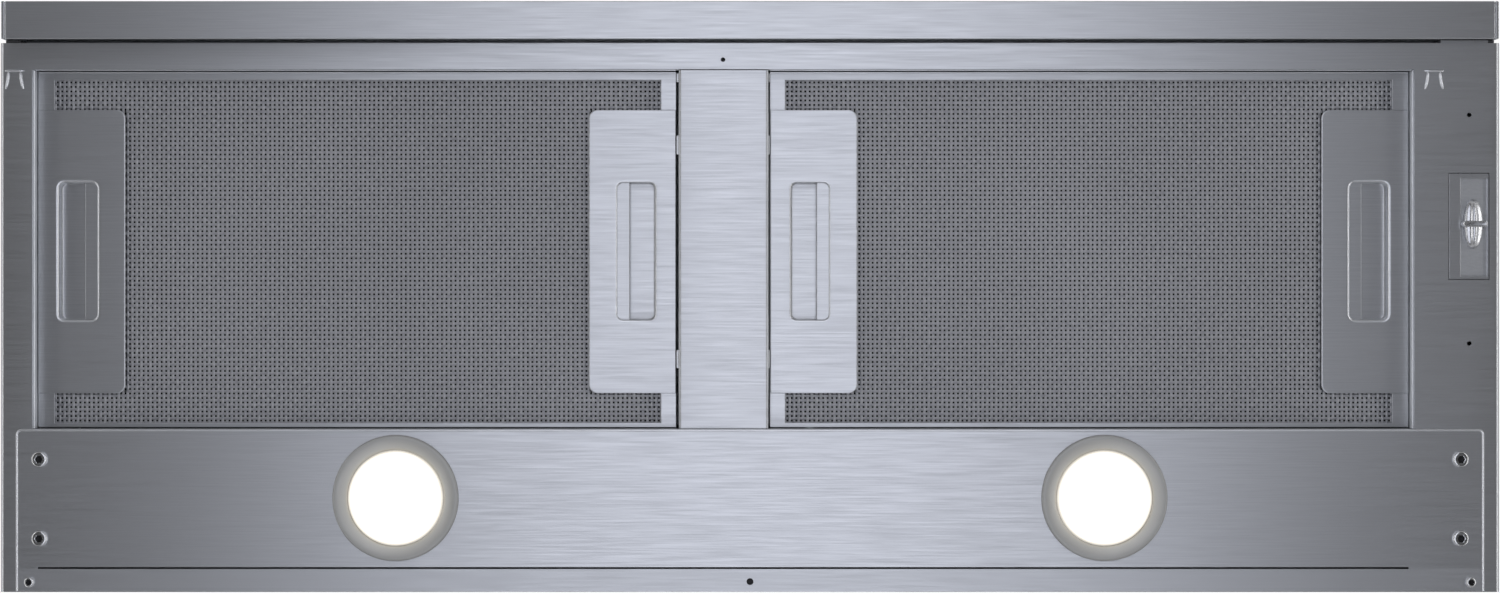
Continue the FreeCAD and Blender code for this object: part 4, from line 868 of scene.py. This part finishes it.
# Painted shade: a near-black strip behind the slit's left end and a near-black disc in the rear hole.
SHADE_LEFT, SHADE_RIGHT, SHADE_FRONT, SHADE_REAR = -360.9, -348.5, 136.85, 137.75
SHADE_LOW, SHADE_HIGH = 4.84, 4.99
REAR_HOLE_Y, REAR_HOLE_SHADE = 144.2, 1.7
WALL_LEFT, WALL_RIGHT, WALL_REAR, WALL_BEAD, WALL_BEAD_Z = -363.8, 336.7, 66.8, 0.40, 9.0
LIP_FRONT, LIP_BEAD, LIP_BEAD_Z = -115.5, 0.38, 11.0
DIVIDER_LEFT, DIVIDER_RIGHT = -37.8, 10.3
BEAD_PROUD = 0.06


def hem():
    """The rolled hem round the lamp panel's front and sides."""
    low, high = box_mm("lamp_panel")
    edge, front, rear = high[0] - 0.4, low[1] + 0.4, high[1] - 0.1
    path = [(-edge, rear), *arc(HEM_TURN - edge, front + HEM_TURN, HEM_TURN, 180, 270, 8)]
    path += [*arc(edge - HEM_TURN, front + HEM_TURN, HEM_TURN, 270, 360, 8), (edge, rear)]
    skin = Skin()
    bead(skin, [(x, y, HEM_Z) for x, y in path], HEM_RADIUS)
    piece("lamp_panel_hem", skin.verts, skin.faces, EDGE_STEEL_PAINTED_HIGHLIGHT, "hood", sharp=60.0)


def buffers():
    """The rubber buffers behind the front bar's ends."""
    skin = Skin()
    for sign in (-1, 1):
        rings = []
        for inset, y in BUFFER_LEVELS:
            x0, x1 = sorted((sign * (BUFFER_INNER + inset), sign * (BUFFER_OUTER - inset)))
            z0, z1 = BUFFER_LOW + inset, BUFFER_HIGH - inset
            rings.append([(x0, y, z0), (x1, y, z0), (x1, y, z1), (x0, y, z1)])
        skin.loft(rings)
    piece("bar_buffers", skin.verts, skin.faces, BLACK, "pull_out", sharp=30.0)


def frame_roll(side):
    """The rolled front edge of a filter frame."""
    low, high = box_mm(f"{side}_filter_frame")
    y = low[1] + ROLL_RADIUS
    skin = Skin()
    bead(skin, [(low[0] + 0.4, y, ROLL_Z), (high[0] - 0.4, y, ROLL_Z)], ROLL_RADIUS)
    piece(f"{side}_frame_roll", skin.verts, skin.faces, EDGE_STEEL_PAINTED_HIGHLIGHT, f"{side}_filter", sharp=60.0)


def slit_and_hole_shade():
    """A near-black strip in the left end of the lamp panel's slit and a near-black disc in the rear hole:
    painted shade where both look dark.
    """
    skin = Skin()
    corners = [
        (SHADE_LEFT, SHADE_FRONT), (SHADE_RIGHT, SHADE_FRONT), (SHADE_RIGHT, SHADE_REAR), (SHADE_LEFT, SHADE_REAR)]
    skin.loft([[(x, y, z) for x, y in corners] for z in (SHADE_LOW, SHADE_HIGH)])
    cap = [(0, SHADE_LOW), (REAR_HOLE_SHADE, SHADE_LOW), (REAR_HOLE_SHADE, SHADE_HIGH), (0, SHADE_HIGH)]
    lathe(skin, cap, 0.0, REAR_HOLE_Y, 0.0, 32)
    piece("slit_and_hole_shade", skin.verts, skin.faces, SOCKET_SHADE, "hood", sharp=30.0)


def recess_beads():
    """Stiffening beads pressed into the two rails and into the pan's lip in front of the filters."""
    skin = Skin()
    for x in (WALL_LEFT + BEAD_PROUD, WALL_RIGHT - BEAD_PROUD):
        bead(skin, [(x, -115.0, WALL_BEAD_Z), (x, WALL_REAR, WALL_BEAD_Z)], WALL_BEAD)
    y = LIP_FRONT + BEAD_PROUD
    for x0, x1 in ((WALL_LEFT + 0.3, DIVIDER_LEFT), (DIVIDER_RIGHT, WALL_RIGHT - 0.3)):
        bead(skin, [(x0, y, LIP_BEAD_Z), (x1, y, LIP_BEAD_Z)], LIP_BEAD)
    piece("recess_beads", skin.verts, skin.faces, EDGE_STEEL_PAINTED_HIGHLIGHT, "hood", sharp=60.0)


hem()
buffers()
frame_roll("left")
frame_roll("right")
slit_and_hole_shade()
recess_beads()

# ---------------------------------------------------------------------------------------------
# Studio: floor, lights, camera
# ---------------------------------------------------------------------------------------------

scene = bpy.context.scene

FLOOR_Z, FLOOR_HALF = -1.75, 60.0
floor_corners = [(x * FLOOR_HALF, y * FLOOR_HALF, FLOOR_Z) for x, y in ((-1, -1), (1, -1), (1, 1), (-1, 1))]
floor_mesh = bpy.data.meshes.new("floor")
floor_mesh.from_pydata(floor_corners, [], [(0, 1, 2, 3)])
floor = bpy.data.objects.new("floor", floor_mesh)
scene.collection.objects.link(floor)
paint = Graph("floor_paint")
mottle = paint.noise((1.5, 1.5, 1.5), 3.0)
paint.finish(Base_Color=paint.mix(mottle, (0.78, 0.785, 0.79), (0.82, 0.825, 0.83)), Roughness=0.8)
clear = paint.add("ShaderNodeBsdfTransparent")
behind = paint.add("ShaderNodeNewGeometry").outputs["Backfacing"]
both = paint.add("ShaderNodeMixShader", {0: behind, 1: paint.surface.outputs[0], 2: clear.outputs[0]})
paint.links.new(both.outputs[0], paint.output.inputs["Surface"])
floor_mesh.materials.append(paint.material)
floor.visible_glossy = False

world = bpy.data.worlds.new("studio")
scene.world = world
world.use_nodes = True
tree = world.node_tree
tree.nodes.clear()


def world_node(kind, inputs=None, **settings):
    node = tree.nodes.new(kind)
    for key, value in settings.items():
        setattr(node, key, value)
    for key, value in (inputs or {}).items():
        if isinstance(value, bpy.types.NodeSocket):
            tree.links.new(value, node.inputs[key])
        else:
            node.inputs[key].default_value = value
    return node


direction = world_node("ShaderNodeTexCoord").outputs["Generated"]
height = world_node("ShaderNodeSeparateXYZ", {0: direction}).outputs["Z"]
ramp = world_node("ShaderNodeValToRGB")
steps = world_node("ShaderNodeMapRange", {"Value": height, "From Min": -1.0, "From Max": 1.0})
tree.links.new(steps.outputs[0], ramp.inputs[0])
stops = [
    # share of the way from straight below to straight above, brightness
    (0.0, 0.07), (0.18, 0.08), (0.30, 0.34), (0.41, 0.60),
    (0.50, 0.62), (0.56, 0.40), (0.8, 0.80), (1.0, 0.85)]
ramp.color_ramp.elements[0].position = stops[0][0]
ramp.color_ramp.elements[1].position = stops[-1][0]
for position, _ in stops[1:-1]:
    ramp.color_ramp.elements.new(position)
for element, (_, level) in zip(ramp.color_ramp.elements, stops):
    element.color = (level, level, level * 1.01, 1.0)
surround = world_node("ShaderNodeBackground", {"Color": ramp.outputs[0], "Strength": 1.0})
backdrop = world_node("ShaderNodeBackground", {"Color": (1.0, 1.0, 1.0, 1.0), "Strength": 1.0})
seen = world_node("ShaderNodeLightPath").outputs["Is Camera Ray"]
sky = world_node("ShaderNodeMixShader", {0: seen, 1: surround.outputs[0], 2: backdrop.outputs[0]})
world_node("ShaderNodeOutputWorld", {"Surface": sky.outputs[0]})


def softbox(name, place, aim, size, radiance, tint=(1.0, 1.0, 1.0)):
    """A rectangular light whose surface has that radiance."""
    data = bpy.data.lights.new(name, "AREA")
    data.shape = "RECTANGLE"
    data.size, data.size_y = size
    data.energy = radiance * math.pi * size[0] * size[1]
    data.color = tint
    light = bpy.data.objects.new(name, data)
    light.location = place
    light.rotation_mode = "QUATERNION"
    light.rotation_quaternion = (Vector(aim) - Vector(place)).to_track_quat("-Z", "Y")
    light.visible_camera = False
    scene.collection.objects.link(light)


softbox("under", (0.014, 0.0, -1.44), (0.014, 0.0, 0.0), (0.82, 2.6), 1.33, (0.925, 0.955, 1.06))
softbox("under_left", (-1.75, 0.0, -1.05), (-0.3, 0.0, 0.0), (2.4, 0.40), 2.4)
softbox("under_right", (1.75, 0.0, -1.05), (0.3, 0.0, 0.0), (2.4, 0.40), 3.2)
softbox("overhead", (0.2, 0.3, 2.4), (0.0, 0.0, 0.1), (2.2, 1.6), 2.2)
softbox("front_right", (2.0, -2.3, 1.1), (0.0, 0.0, 0.1), (1.2, 1.6), 2.4)
softbox("rear_left", (-2.2, 2.1, 1.2), (0.0, 0.0, 0.1), (1.2, 1.4), 2.0)

camera_data = bpy.data.cameras.new("camera")
camera_data.sensor_width = 36.0
camera_data.lens = 66.3
camera = bpy.data.objects.new("camera", camera_data)
camera.location = (0.0, -0.00025, -1.395)
camera.rotation_euler = (math.pi, 0.0, 0.0)
scene.collection.objects.link(camera)
scene.camera = camera

scene.view_settings.view_transform = "Standard"
scene.view_settings.look = "None"
scene.cycles.max_bounces = 10
scene.cycles.glossy_bounces = 6
scene.cycles.transmission_bounces = 6
